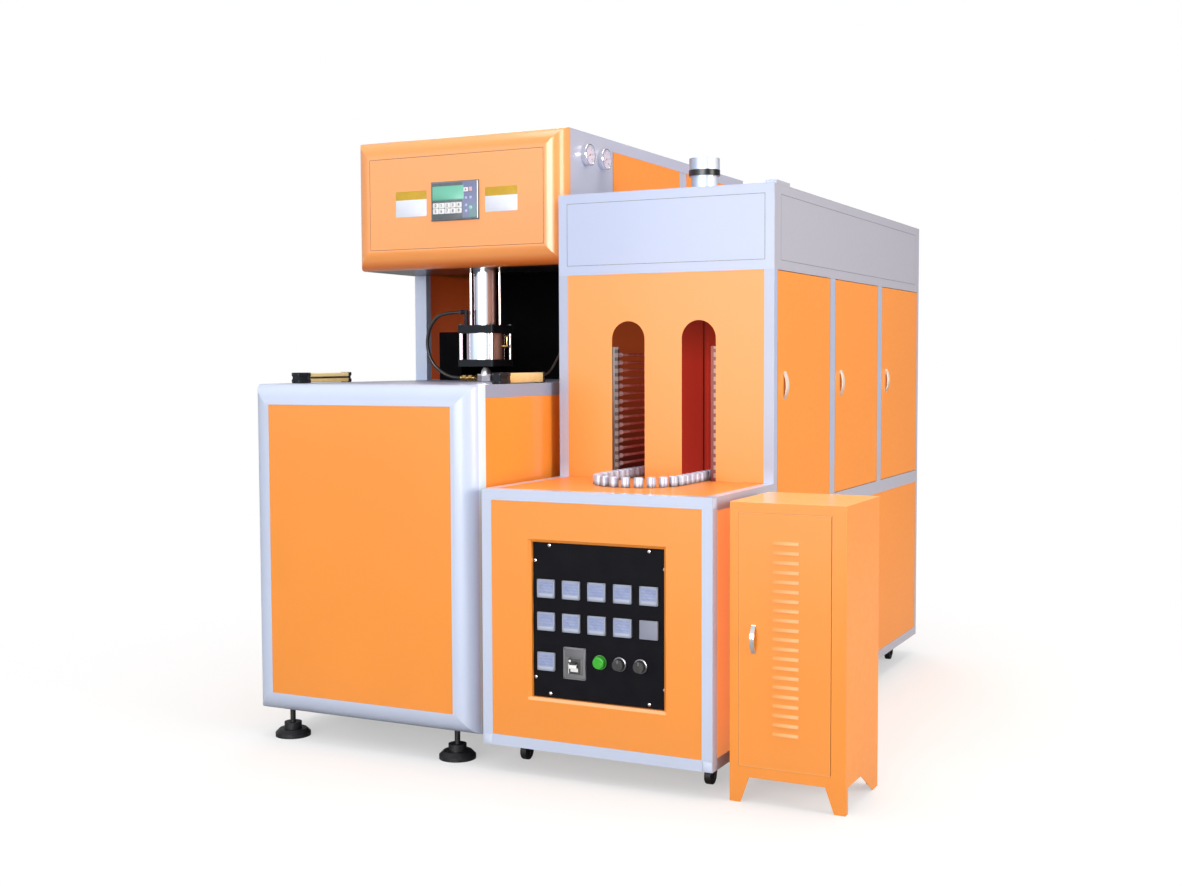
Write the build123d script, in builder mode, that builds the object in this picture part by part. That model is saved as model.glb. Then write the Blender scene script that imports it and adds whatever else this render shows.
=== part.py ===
"""A stretch blow moulding set: the blow station, the infrared preform heater and its
electrical cabinet, standing side by side as they do in a workshop.

Millimetres. +X is the machine's right, +Y its back, +Z up. The origin is on the floor, under
the centre of the whole set.
"""
import os
from math import cos, pi, radians, sin, tan

from build123d import *

os.makedirs("parts", exist_ok=True)

# Whole set
machine_depth = 2600
blower_width = 950
heater_width = 840
locker_width = 377
blower_gap = 38
locker_gap = 46

# Sheet metal, tubes and general clearances
sheet = 2
seat_gap = 0.3
weld_gap = 0.2
tube_wall = 2.5
panel_seat = sheet + seat_gap
running_fit = 0.06

# Blow station, heights from the floor and depths from the front
blower_bottom = 100
table_height = 1311
bay_height = 450
head_height = 517
head_bottom = table_height + bay_height
head_top = head_bottom + head_height
blower_tube = 42
surround_depth = 95
surround_radius = 72
surround_side_border = 85
surround_end_border = 74
front_panel_return = 20
table_plate = 6
table_rim = 46
column_depth = 1100
column_post_width = 57
column_post_depth = 35
middle_post_depth = 1802
middle_post_width = 80
lid_rim = 45
head_front_depth = 666
head_shell_rear_depth = 740
head_radius = 70
head_groove_inset = 77
groove_width = 2
groove_cut = 0.8
head_base_plate = 12
bulkhead_depth = 1560
bulkhead_plate = 3
valve_box_inset = 93
valve_box_width = 110
valve_box_depth = 350
valve_box_height = 207
valve_box_setback = 50

# Display on the head
display_width = 217
display_height = 153
display_shift = 6
display_rise = 9
display_chamfer = 5
display_body_depth = 42
display_lip = 14
screen_width = 142
screen_height = 54
key_pitch_x = 26.6
key_pitch_z = 22
key_width = 25
key_height = 20
key_rise = 0.8
key_columns = 5
key_rows = 2

# Pressure gauges on the right of the head
gauge_radius = 42
gauge_case_depth = 24
gauge_bezel = 5
gauge_glass_recess = 3
gauge_stem_radius = 12
gauge_stem_length = 40
gauge_drop = 89
gauge_height = head_top - gauge_drop
gauge_depths = (866, 1012)

# Sealing head that comes down on the preform
axis_depth = 900
ram_radius = 46
ram_bore = 25
ram_length = 502
barrel_wall = 8
barrel_clearance = 0.5
barrel_top_margin = 26
barrel_flange_radius = 58
barrel_flange = 16
seal_plate_side = 168
seal_corner = 10
seal_base_rise = 60
seal_base = table_height + seal_base_rise
seal_lower_plate = 28
seal_block_height = 106
seal_upper_plate = 33
seal_block_radius = 78
seal_post_radius = 7
seal_post_offset = 73
guide_rod_radius = 6
guide_rod_offset = 68
guide_rod_length = 420
guide_clearance = 0.3
elbow_offset = (-66, -40)
elbow_radius = 9
elbow_height = 63
elbow_nose = 22
stretch_rod_radius = 7
stretch_tip_rise = 14
stretch_tip = seal_base + stretch_tip_rise
piston_height = 24
piston_headroom = 12

# Preform neck holder and its air union on the table
neck_flat = 60
neck_base_height = 29
neck_dome_radius = 20
neck_dome_top_radius = 10
neck_dome_height = 27
neck_bore = 8
union_radius = 11
union_stem_radius = 8
union_length = 82
union_nut_length = 16
union_nut_starts = (4, 34, 62)

# Air hoses
blow_hose_radius = 7
feed_hose_radius = 4
feed_hose_start = 0.6

# Slotted air cylinders along both sides of the table
lock_offset = 441
lock_start_depth = 229
lock_size = 40
lock_block_length = 49
lock_plate = 17
lock_barrel_length = 245
lock_barrel_size = 36
lock_slot = 8
lock_slot_cut = 6
lock_rod_radius = 6
lock_foot_gap = 0.5
lock_corner = 4
lock_waist = 9
lock_rod_length = 190

# Mould and clamp inside the station
mould_width = 380
mould_half = 190
mould_top_margin = 15
parting_gap = 0.3
mould_height = 560
bottle_radius = 135
bottle_height = 380
bottle_shoulder = 70
bottle_foot = 12
bottle_neck_radius = 27
bottle_neck_height = 60
platen_width = 520
platen = 45
platen_height = 620
tie_bar_radius = 20
tie_bar_x = 230
tie_bar_inset = 50
tie_bar_overhang = 45
tie_bar_nut = 25
clamp_stroke = 280
clamp_ram_radius = 35
clamp_cylinder_radius = 100
clamp_cylinder_length = 460
clamp_overrun = 20
clamp_engagement = 60
clamp_wall = 15

# Levelling feet under the station
foot_inset = 115
foot_depth = 78
foot_pad_radius = 65
foot_pad_height = 28
foot_pad_edge = 14
foot_collar_radius = 32
foot_collar_height = 24
foot_stem_radius = 10
foot_bracket = 20
foot_bracket_side = 80
foot_hole_margin = 1

# Heater, heights from the floor and depths from the front
heater_bottom = 89
heater_table = 962
heater_tube = 37
hood_depth = 570
hood_top = 2003
band_bottom = 1706
band_rail = 34
table_rail = 43
hood_post = 34
rear_post = 28
side_rail_bottom = 818
side_rail_top = 871
door_post = 64
panel_setback = 1
bearer_width = 80
bearer_height = 53
band_groove_inset = 34
table_sheet = 4
roof_tab_width = 40
roof_tab_length = 142
roof_tab_setback = 20
roof_tab_rise = 12

# Arches that the preforms go through
arch_width = 131
arch_offset = 138
arch_top = 1535

# Heater's control panel
control_width = 484
control_height = 523
control_bottom = 267
control_shift = 7.5
control_recess = 22
control_bevel = 10
recess_rim = 14
control_lip = 8
control_plate = 3
meter_width = 64
meter_height = 61
meter_rise = 6
meter_body = 52
meter_corner = 3
meter_depth = 60
meter_pitch_x = 94
meter_first_x = -604
meter_rows = (634, 523.5, 388.5)
meter_columns = (5, 5, 1)
instrument_fit = 0.5
breaker_x = -78.5
breaker_z = 390
breaker_width = 81
breaker_height = 106
breaker_rise = 5
breaker_body_width = 56
breaker_body_height = 80
breaker_body_depth = 65
breaker_slot_width = 21
breaker_slot_height = 44
breaker_slot_depth = 14
lever_width = 20
lever_length = 17
lever_thickness = 12
lever_pivot_radius = 5
lever_pivot_depth = 6
button_x = 14
knob_xs = (86, 161)
knob_z = 402
button_radius = 20
button_height = 14
button_edge = 4
button_travel = 5
button_collar_radius = 24
button_collar = 3
button_stem_radius = 9
knob_radius = 19
knob_height = 19
knob_ring_radius = 23
knob_ring = 2
knob_flute = 1.5
knob_flutes = 18
knob_skirt_radius = 19.5
knob_skirt = 3
knob_stem_radius = 5
stem_length = 26
stem_clearance = 0.4

# Doors on the heater's right side
door_clearance = 2.5
pivot_inset = 6
pivot_edge = 11
pivot_radius = 2.5
pivot_fit = 0.1
pivot_engagement = 3
pivot_length = 12
handle_length = 100
handle_width = 24
handle_rise = 12
handle_thickness = 5
handle_foot = 9
handle_height = 1252
handle_inset = 80
door_return = 18

# Preform track
track_radius = 150
track_front_depth = 375
track_length = 1850
track_slot = 14
holder_count = 104
holder_radius = 16
holder_height = 34
holder_gap = 2
holder_chamfer = 3
holder_stem_radius = 5
chain_top = 944
chain_height = 14
chain_width = 16
sprocket_height = 10
sprocket_shaft_radius = 20
motor_radius = 55
motor_length = 160

# Lamps and reflectors
lamp_count = 15
lamp_first_height = 1013
lamp_pitch = 28.6
lamp_offset = 197
lamp_radius = 6
lamp_cap_radius = 9
lamp_cap_length = 45
lamp_front_depth = 590
lamp_length = 1700
lamp_bracket = 12
lamp_bracket_width = 30
reflector_offset = 265
reflector_height = 580
centre_reflector_half = 42
centre_reflector_front = 640
centre_reflector_length = 1500
reflector_fold = 40
reflector_fold_cut = 20
reflector_fold_depth = 863
reflector_fold_pitch = 480
reflector_folds = 3

# Exhaust on the hood's roof
exhaust_depth = 965
exhaust_radius = 50
exhaust_cap_radius = 58
exhaust_band_radius = 59.5
exhaust_flange = 12
exhaust_pipe_height = 88
exhaust_band_height = 22
exhaust_cap_height = 44

# Casters under the heater
caster_inset = 75
caster_depth = 190
caster_wheel_radius = 30
caster_wheel_width = 24
caster_trail = 20
caster_edge = 3
caster_gap = 0.3
caster_plate_side = 96
caster_plate = 4
caster_head_radius = 28
caster_head_height = 12
fork_gap = 2
fork_wall = 4
fork_leg_width = 24
axle_radius = 4

# Electrical cabinet
locker_setback = 30
locker_length = 361
locker_height = 951
locker_sheet = 1.5
locker_floor = 88
locker_door_left = 29
locker_door_right = 46
locker_door_top = 32
locker_door_bottom = 116
leg_top_width = 65
leg_foot_width = 36
skirt_height = 82
side_leg_front = 25
side_leg_top = 194
side_leg_foot = 56
louvre_count = 21
louvre_width = 84
louvre_left = 111
louvre_first = 224
louvre_pitch = 29.9
louvre_height = 11
louvre_rise = 5
louvre_slot = 4
locker_handle_inset = 48
locker_handle_bottom = 474
locker_handle_length = 92
locker_handle_width = 14
locker_handle_rise = 20
locker_pivot_bracket = 20
locker_pivot_plate = 4
gear_plate_margin = 25
gear_plate = 3
gear_rows = 3
gear_columns = 3
gear_block = 62
gear_block_depth = 70
gear_block_pitch = 84
gear_row_pitch = 190

# Places worked out from the sizes above
set_width = blower_width + blower_gap + heater_width + locker_gap + locker_width
blower_left = -set_width / 2
blower_right = blower_left + blower_width
blower_mid = (blower_left + blower_right) / 2
heater_left = blower_right + blower_gap
heater_right = heater_left + heater_width
heater_mid = (heater_left + heater_right) / 2
locker_left = heater_right + locker_gap
locker_right = locker_left + locker_width
front = -machine_depth / 2
rear = machine_depth / 2
axis_y = front + axis_depth


def block(x, y, z, mode=Mode.ADD):
    """A block between two x, two y and two z values."""
    spans = (x, y, z)
    with Locations(tuple((low + high) / 2 for low, high in spans)):
        Box(*(high - low for low, high in spans), mode=mode)


def square_tube(x, y, z):
    """A tube that fills three spans and is open at the ends of the longest."""
    spans = (x, y, z)
    lengths = [high - low for low, high in spans]
    run = lengths.index(max(lengths))
    bore = [
        span if i == run else (span[0] + tube_wall, span[1] - tube_wall)
        for i, span in enumerate(spans)
    ]
    block(*spans)
    block(*bore, mode=Mode.SUBTRACT)


def rod(radius, start, along, length, mode=Mode.ADD):
    """A round bar from a start point, along a direction."""
    with BuildSketch(Plane(origin=start, z_dir=along)) as section:
        Circle(radius)
    extrude(section.sketch, amount=length, mode=mode)


def pipe(radius, bore, start, along, length):
    """A round bar with a hole through it."""
    with BuildSketch(Plane(origin=start, z_dir=along)) as section:
        Circle(radius)
        Circle(bore, mode=Mode.SUBTRACT)
    extrude(section.sketch, amount=length)


def front_plane(x, y, z):
    """A plane that faces the front, with its own x to the right and its own y up."""
    return Plane(origin=(x, y, z), x_dir=(1, 0, 0), z_dir=(0, -1, 0))


def side_plane(x, y, z):
    """A plane that faces right, with its own x to the back and its own y up."""
    return Plane(origin=(x, y, z), x_dir=(0, 1, 0), z_dir=(1, 0, 0))


def groove_frame(plane, width, height):
    """A thin square groove round a rectangle on a flat face."""
    with BuildSketch(plane) as line:
        Rectangle(width, height)
        Rectangle(width - 2 * groove_width, height - 2 * groove_width, mode=Mode.SUBTRACT)
    extrude(line.sketch, amount=-groove_cut, mode=Mode.SUBTRACT)


def finish_part(part, name):
    """Labels a finished piece and writes its STEP file."""
    part.label = name
    export_step(part, f"parts/{name}.step")


# Blow station: welded frame, lower part and column
frame_left = blower_left + panel_seat
frame_right = blower_right - panel_seat
frame_front = front + surround_depth + seat_gap
frame_rear = rear - panel_seat
ring_top = blower_bottom + blower_tube
front_platen_y = axis_y - mould_half - platen
rear_plate_y = axis_y + mould_half + platen + clamp_stroke + clamp_overrun
column_front = front + column_depth
middle_post_y = front + middle_post_depth
top_rail_top = head_top - sheet - seat_gap
top_rail_bottom = top_rail_top - blower_tube
left_rail = (frame_left, frame_left + blower_tube)
right_rail = (frame_right - blower_tube, frame_right)
cross_span = (left_rail[1] + weld_gap, right_rail[0] - weld_gap)
lower_post_z = (ring_top + weld_gap, table_height - table_plate - seat_gap)
upper_post_z = (table_height + seat_gap, top_rail_bottom - weld_gap)
front_post_y = (frame_front, frame_front + blower_tube)
rear_post_y = (frame_rear - blower_tube, frame_rear)
head_rail_front = front + head_shell_rear_depth + seat_gap
foot_y = (front + foot_depth, rear - foot_depth)
bracket_z = (blower_bottom + sheet + seat_gap, blower_bottom + sheet + seat_gap + foot_bracket)

with BuildPart() as blow_frame:
    for rail in (left_rail, right_rail):
        square_tube(rail, (frame_front, frame_rear), (blower_bottom, ring_top))
        square_tube(rail, front_post_y, lower_post_z)
        square_tube(rail, rear_post_y, lower_post_z)
        square_tube(rail, rear_post_y, upper_post_z)
        square_tube(rail, (middle_post_y, middle_post_y + middle_post_width), upper_post_z)
        square_tube(rail, (head_rail_front, frame_rear), (top_rail_bottom, top_rail_top))
    for cross in (frame_front, front_platen_y, rear_plate_y, frame_rear - blower_tube):
        square_tube(cross_span, (cross, cross + blower_tube), (blower_bottom, ring_top))
    column_posts = (
        (frame_left, frame_left + column_post_width),
        (frame_right - column_post_width, frame_right),
    )
    for post in column_posts:
        square_tube(post, (column_front, column_front + column_post_depth), upper_post_z)
    for side in (-1, 1):
        foot_x = blower_mid + side * (blower_width / 2 - foot_inset)
        bracket_x = (foot_x - foot_bracket_side / 2, foot_x + foot_bracket_side / 2)
        block(bracket_x, (foot_y[0] - foot_stem_radius, frame_front - weld_gap), bracket_z)
        rear_cross = frame_rear - blower_tube
        block(bracket_x, (foot_y[1] - foot_stem_radius, rear_cross - weld_gap), bracket_z)
finish_part(blow_frame.part, "blow_frame")

# Rounded surround of the station's front
surround_bottom_top = (blower_bottom, table_height)
with BuildPart() as blow_front_surround:
    block((blower_left, blower_right), (front, front + surround_depth), surround_bottom_top)
    fillet(blow_front_surround.faces().sort_by(Axis.Y)[0].edges(), surround_radius)
    offset(amount=-sheet, openings=blow_front_surround.faces().sort_by(Axis.Y)[-1])
    block(
        (blower_left + surround_side_border, blower_right - surround_side_border),
        (front - sheet, front + 2 * sheet),
        (blower_bottom + surround_end_border, table_height - surround_end_border),
        mode=Mode.SUBTRACT,
    )
    for side in (-1, 1):
        foot_x = blower_mid + side * (blower_width / 2 - foot_inset)
        foot_hole = foot_stem_radius + foot_hole_margin
        rod(foot_hole, (foot_x, foot_y[0], blower_bottom - 1), (0, 0, 1), 3 * sheet, Mode.SUBTRACT)
finish_part(blow_front_surround.part, "blow_front_surround")

# Front panel of the station, a shallow pan
front_panel_x = (
    blower_left + surround_side_border + seat_gap,
    blower_right - surround_side_border - seat_gap,
)
front_panel_z = (
    blower_bottom + surround_end_border + seat_gap,
    table_height - surround_end_border - seat_gap,
)
with BuildPart() as blow_front_panel:
    block(front_panel_x, (front + 1, front + 1 + front_panel_return), front_panel_z)
    block(
        (front_panel_x[0] + sheet, front_panel_x[1] - sheet),
        (front + 1 + sheet, front + 1 + 2 * front_panel_return),
        (front_panel_z[0] + sheet, front_panel_z[1] - sheet),
        mode=Mode.SUBTRACT,
    )
finish_part(blow_front_panel.part, "blow_front_panel")

# Lower side and rear panels of the station
lower_panel_z = (blower_bottom, table_height - table_rim - seat_gap)
side_panel_y = (front + surround_depth + seat_gap, rear)
with BuildPart() as blow_side_panels:
    block((blower_left, blower_left + sheet), side_panel_y, lower_panel_z)
    block((blower_right - sheet, blower_right), side_panel_y, lower_panel_z)
    rear_panel_x = (blower_left + sheet + seat_gap, blower_right - sheet - seat_gap)
    block(rear_panel_x, (rear - sheet, rear), lower_panel_z)
finish_part(blow_side_panels.part, "blow_side_panels")

# Work table with its folded rim
table_y = (front + surround_depth + seat_gap, rear)
rim_z = (table_height - table_rim, table_height - table_plate)
with BuildPart() as blow_table:
    block((blower_left, blower_right), table_y, (table_height - table_plate, table_height))
    block((blower_left, blower_left + sheet), table_y, rim_z)
    block((blower_right - sheet, blower_right), table_y, rim_z)
    block((blower_left, blower_right), (rear - sheet, rear), rim_z)
    rod(bottle_neck_radius, (blower_mid, axis_y, rim_z[0]), (0, 0, 1), 2 * table_rim, Mode.SUBTRACT)
finish_part(blow_table.part, "blow_table")

# White covers of the head: two sides, the base plate and the long lid
head_cover_y = (front + head_shell_rear_depth + seat_gap, column_front - seat_gap)
lid_z = (head_top - sheet, head_top)
lid_y = (front + head_shell_rear_depth + seat_gap, rear)
lid_rim_z = (head_top - lid_rim, head_top - sheet)
lid_rim_y = (column_front, rear)
base_plate_z = (head_bottom, head_bottom + head_base_plate)
gauge_ys = [front + depth for depth in gauge_depths]
with BuildPart() as upper_covers:
    head_side_z = (head_bottom, head_top - sheet - seat_gap)
    for edge in (blower_left, blower_right - sheet):
        block((edge, edge + sheet), head_cover_y, head_side_z)
    base_x = (blower_left + panel_seat, blower_right - panel_seat)
    block(base_x, head_cover_y, base_plate_z)
    axis_low = (blower_mid, axis_y, head_bottom - 1)
    rod(ram_radius + barrel_clearance, axis_low, (0, 0, 1), 2 * head_base_plate, Mode.SUBTRACT)
    for side in (-1, 1):
        guide_low = (blower_mid + side * guide_rod_offset, axis_y, head_bottom - 1)
        guide_hole = guide_rod_radius + guide_clearance
        rod(guide_hole, guide_low, (0, 0, 1), 2 * head_base_plate, Mode.SUBTRACT)
    for gauge_y in gauge_ys:
        gauge_hole = (blower_right - 2 * sheet, gauge_y, gauge_height)
        rod(gauge_stem_radius + instrument_fit, gauge_hole, (1, 0, 0), 4 * sheet, Mode.SUBTRACT)
    block((blower_left, blower_right), lid_y, lid_z)
    for edge in (blower_left, blower_right - sheet):
        block((edge, edge + sheet), lid_rim_y, lid_rim_z)
    block((blower_left, blower_right), (rear - sheet, rear), lid_rim_z)
finish_part(upper_covers.part, "upper_covers")

# Orange panels of the column, two on each side and one at the back
upper_panel_z = (table_height + seat_gap, head_top - lid_rim - seat_gap)
column_back = column_front + column_post_depth / 2
upper_panel_ys = (
    (column_back, middle_post_y),
    (middle_post_y + middle_post_width, rear - blower_tube),
)
with BuildPart() as upper_panels:
    for edge in (blower_left, blower_right - sheet):
        for span in upper_panel_ys:
            block((edge, edge + sheet), span, upper_panel_z)
    back_panel_x = (blower_left + blower_tube, blower_right - blower_tube)
    block(back_panel_x, (rear - sheet, rear), upper_panel_z)
finish_part(upper_panels.part, "upper_panels")

# Dark bulkhead behind the blow bay, with the valve box
bulkhead_y = front + bulkhead_depth
with BuildPart() as bulkhead:
    bulkhead_x = (frame_left + weld_gap, frame_right - weld_gap)
    bulkhead_z = (table_height + seat_gap, top_rail_bottom - weld_gap)
    block(bulkhead_x, (bulkhead_y, bulkhead_y + bulkhead_plate), bulkhead_z)
    box_x = (blower_left + valve_box_inset, blower_left + valve_box_inset + valve_box_width)
    box_start = column_front + valve_box_setback
    box_z = (table_height + seat_gap, table_height + seat_gap + valve_box_height)
    block(box_x, (box_start, box_start + valve_box_depth), box_z)
finish_part(bulkhead.part, "bulkhead")

# Orange shell of the head with a rounded front
head_front = front + head_front_depth
head_rear = front + head_shell_rear_depth
head_middle = (head_bottom + head_top) / 2
display_x = blower_mid + display_shift
display_hole_x = (
    display_x - display_width / 2 + display_lip,
    display_x + display_width / 2 - display_lip,
)
display_hole_z = (
    head_middle - display_height / 2 + display_lip,
    head_middle + display_height / 2 - display_lip,
)
with BuildPart() as head_shell:
    block((blower_left, blower_right), (head_front, head_rear), (head_bottom, head_top))
    fillet(head_shell.faces().sort_by(Axis.Y)[0].edges(), head_radius)
    offset(amount=-sheet, openings=head_shell.faces().sort_by(Axis.Y)[-1])
    face_plane = front_plane(blower_mid, head_front, head_middle)
    groove_frame(
        face_plane,
        blower_width - 2 * head_groove_inset,
        head_top - head_bottom - 2 * head_groove_inset,
    )
    display_hole_y = (head_front - sheet, head_front + 2 * sheet)
    block(display_hole_x, display_hole_y, display_hole_z, mode=Mode.SUBTRACT)
finish_part(head_shell.part, "head_shell")

# Operator display, with its screen and membrane keys
display_face = head_front - seat_gap - display_rise
with BuildPart() as display_unit:
    with BuildSketch(front_plane(display_x, head_front - seat_gap, head_middle)):
        Rectangle(display_width, display_height)
    extrude(amount=display_rise)
    chamfer(display_unit.faces().sort_by(Axis.Y)[0].edges(), display_chamfer)
    block(
        (display_hole_x[0] + instrument_fit, display_hole_x[1] - instrument_fit),
        (head_front - seat_gap, head_front + display_body_depth),
        (display_hole_z[0] + instrument_fit, display_hole_z[1] - instrument_fit),
    )
    inner_left = display_x - display_width / 2 + 2 * display_chamfer
    screen_x = (inner_left, inner_left + screen_width)
    screen_top = head_middle + display_height / 2 - 4 * display_chamfer
    screen_z = (screen_top - screen_height, screen_top)
    block(screen_x, (display_face - 1, display_face + 1), screen_z, mode=Mode.SUBTRACT)
    for column in range(key_columns):
        for row in range(key_rows):
            key_left = inner_left + column * key_pitch_x + (key_pitch_x - key_width)
            key_top = screen_top - screen_height - 2 * display_chamfer - row * key_pitch_z
            block(
                (key_left, key_left + key_width),
                (display_face - key_rise, display_face + key_rise),
                (key_top - key_height, key_top),
            )
finish_part(display_unit.part, "display_unit")

# Two pressure gauges on the head's right side
with BuildPart() as pressure_gauges:
    for gauge_y in gauge_ys:
        gauge_x = blower_right + seat_gap
        gauge_axis = Axis((gauge_x, gauge_y, gauge_height), (1, 0, 0))
        with BuildSketch(front_plane(gauge_x, gauge_y, gauge_height)):
            with BuildLine():
                Polyline(
                    (-gauge_stem_length, 0),
                    (-gauge_stem_length, gauge_stem_radius),
                    (0, gauge_stem_radius),
                    (0, gauge_radius - gauge_bezel / 2),
                    (gauge_case_depth - gauge_bezel, gauge_radius),
                    (gauge_case_depth, gauge_radius - gauge_bezel / 2),
                    (gauge_case_depth, gauge_radius - gauge_bezel),
                    (gauge_case_depth - gauge_glass_recess, gauge_radius - gauge_bezel),
                    (gauge_case_depth - gauge_glass_recess, 0),
                    close=True,
                )
            make_face()
        revolve(axis=gauge_axis)
finish_part(pressure_gauges.part, "pressure_gauges")

# Fixed barrel of the sealing head, above the base plate
barrel_bottom = head_bottom + head_base_plate + seat_gap
barrel_bore = ram_radius + barrel_clearance
barrel_length = head_top - sheet - barrel_top_margin - barrel_bottom
with BuildPart() as seal_cylinder:
    barrel_start = (blower_mid, axis_y, barrel_bottom)
    pipe(barrel_bore + barrel_wall, barrel_bore, barrel_start, (0, 0, 1), barrel_length)
    pipe(barrel_flange_radius, barrel_bore, barrel_start, (0, 0, 1), barrel_flange)
finish_part(seal_cylinder.part, "seal_cylinder")

# Moving ram, a chrome tube that also holds the stretch piston, and two guide rods
seal_block_bottom = seal_base + seal_lower_plate
seal_upper_bottom = seal_block_bottom + seal_block_height
seal_top = seal_upper_bottom + seal_upper_plate
with BuildPart() as seal_ram:
    pipe(ram_radius, ram_bore, (blower_mid, axis_y, seal_top), (0, 0, 1), ram_length)
    for side in (-1, 1):
        guide_start = (blower_mid + side * guide_rod_offset, axis_y, seal_top)
        rod(guide_rod_radius, guide_start, (0, 0, 1), guide_rod_length)
finish_part(seal_ram.part, "seal_ram")

# Upper and lower plates of the sealing head, with the hose elbow
elbow_x = blower_mid + elbow_offset[0]
elbow_y = axis_y + elbow_offset[1]
elbow_z = seal_top + elbow_height - elbow_radius
stretch_hole = stretch_rod_radius + running_fit
with BuildPart() as seal_plates:
    for low, high in ((seal_base, seal_block_bottom), (seal_upper_bottom, seal_top)):
        with BuildSketch(Plane(origin=(blower_mid, axis_y, low))):
            RectangleRounded(seal_plate_side, seal_plate_side, seal_corner)
        extrude(amount=high - low)
    rod(elbow_radius, (elbow_x, elbow_y, seal_top), (0, 0, 1), elbow_height)
    rod(elbow_radius, (elbow_x, elbow_y, elbow_z), (-1, 0, 0), elbow_nose)
    stretch_low = (blower_mid, axis_y, seal_base - 1)
    rod(stretch_hole, stretch_low, (0, 0, 1), 2 * (seal_top - seal_base), Mode.SUBTRACT)
finish_part(seal_plates.part, "seal_plates")

# Chrome blow chamber between the plates, with its four posts
with BuildPart() as seal_block:
    chamber_start = (blower_mid, axis_y, seal_block_bottom)
    pipe(seal_block_radius, stretch_hole, chamber_start, (0, 0, 1), seal_block_height)
    for x_side in (-1, 1):
        for y_side in (-1, 1):
            post_start = (
                blower_mid + x_side * seal_post_offset,
                axis_y + y_side * seal_post_offset,
                seal_block_bottom,
            )
            rod(seal_post_radius, post_start, (0, 0, 1), seal_block_height)
finish_part(seal_block.part, "seal_block")

# Stretch rod with its piston, guided in the ram
piston_top = seal_top + ram_length - piston_headroom
with BuildPart() as stretch_rod:
    rod(stretch_rod_radius, (blower_mid, axis_y, stretch_tip), (0, 0, 1), piston_top - stretch_tip)
    piston_start = (blower_mid, axis_y, piston_top - piston_height)
    rod(ram_bore - running_fit, piston_start, (0, 0, 1), piston_height)
    fillet(stretch_rod.edges().sort_by(Axis.Z)[0], stretch_rod_radius - 1)
finish_part(stretch_rod.part, "stretch_rod")

# Neck holder on the table: a hexagon with a domed nose
with BuildPart() as neck_block:
    with BuildSketch(Plane(origin=(blower_mid, axis_y, table_height))):
        RegularPolygon(neck_flat / 2, 6, major_radius=False, rotation=30)
    extrude(amount=neck_base_height)
    dome_base = table_height + neck_base_height
    with BuildSketch(front_plane(blower_mid, axis_y, 0)):
        with BuildLine():
            nose = Spline(
                (neck_dome_radius, dome_base),
                (neck_dome_radius - 2, dome_base + neck_dome_height / 2),
                (neck_dome_top_radius, dome_base + neck_dome_height),
            )
            Polyline(nose @ 1, (0, dome_base + neck_dome_height), (0, dome_base), nose @ 0)
        make_face()
    revolve(axis=Axis((blower_mid, axis_y, 0), (0, 0, 1)))
    neck_low = (blower_mid, axis_y, table_height - 1)
    rod(neck_bore, neck_low, (0, 0, 1), 3 * neck_dome_height, Mode.SUBTRACT)
finish_part(neck_block.part, "neck_block")

# Brass union that feeds the neck holder
union_z = table_height + seat_gap + union_radius / cos(radians(30))
neck_side = blower_mid - neck_flat / 2
union_end = neck_side - union_length
with BuildPart() as hose_union:
    union_start = (neck_side - seat_gap, axis_y, union_z)
    rod(union_stem_radius, union_start, (-1, 0, 0), union_length - seat_gap)
    for nut_start in union_nut_starts:
        with BuildSketch(side_plane(neck_side - nut_start, axis_y, union_z)):
            RegularPolygon(union_radius, 6, major_radius=False)
        extrude(amount=-union_nut_length)
finish_part(hose_union.part, "hose_union")

# Air hoses: a blow hose from the head to the neck union, a feed hose to the right cylinder
blow_hose_points = (
    (blower_mid + elbow_offset[0] - elbow_nose - seat_gap, elbow_y, elbow_z),
    (blower_mid - 155, elbow_y, elbow_z),
    (blower_mid - 219, elbow_y + 6, elbow_z - 18),
    (blower_mid - 262, elbow_y + 14, elbow_z - 77),
    (blower_mid - 272, elbow_y + 22, table_height + 136),
    (blower_mid - 254, elbow_y + 30, table_height + 75),
    (blower_mid - 208, elbow_y + 37, table_height + 34),
    (blower_mid - 157, axis_y, union_z),
    (union_end - seat_gap, axis_y, union_z),
)
lock_rear = front + lock_start_depth + lock_block_length + 2 * lock_plate + lock_barrel_length
feed_hose_x = blower_mid + lock_offset
feed_hose_points = (
    (feed_hose_x, lock_rear + feed_hose_start, table_height + 27),
    (feed_hose_x, lock_rear + 60, table_height + 27),
    (feed_hose_x, lock_rear + 133, table_height + 89),
    (feed_hose_x, lock_rear + 203, table_height + 159),
    (feed_hose_x, lock_rear + 293, table_height + 209),
    (feed_hose_x, lock_rear + 403, table_height + 239),
    (feed_hose_x, lock_rear + 483, table_height + 244),
    (feed_hose_x, column_front - seat_gap, table_height + 244),
)


def bend_radii(points):
    """Bend radii that use up to nine tenths of each run of a hose."""
    runs = [Vector(*end) - Vector(*start) for start, end in zip(points, points[1:])]
    radii = []
    for before, after in zip(runs, runs[1:]):
        half_turn = before.get_angle(after) / 2
        radii.append(0.45 * min(before.length, after.length) / tan(radians(half_turn)))
    return radii


hoses = ((blow_hose_points, blow_hose_radius), (feed_hose_points, feed_hose_radius))
with BuildPart() as air_hoses:
    for points, radius in hoses:
        radii = bend_radii(points)
        with BuildLine() as hose_path:
            FilletPolyline(*points, radius=radii)
        route = hose_path.wire()
        with BuildSketch(Plane(origin=route @ 0, z_dir=route % 0)):
            Circle(radius)
        sweep(path=route)
        print("hose bends", [round(bend) for bend in radii], "length", round(route.length, 1))
        print("section x length", round(pi * radius**2 * route.length))
finish_part(air_hoses.part, "air_hoses")
print("hose volumes", [round(solid.volume) for solid in air_hoses.part.solids()])

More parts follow.
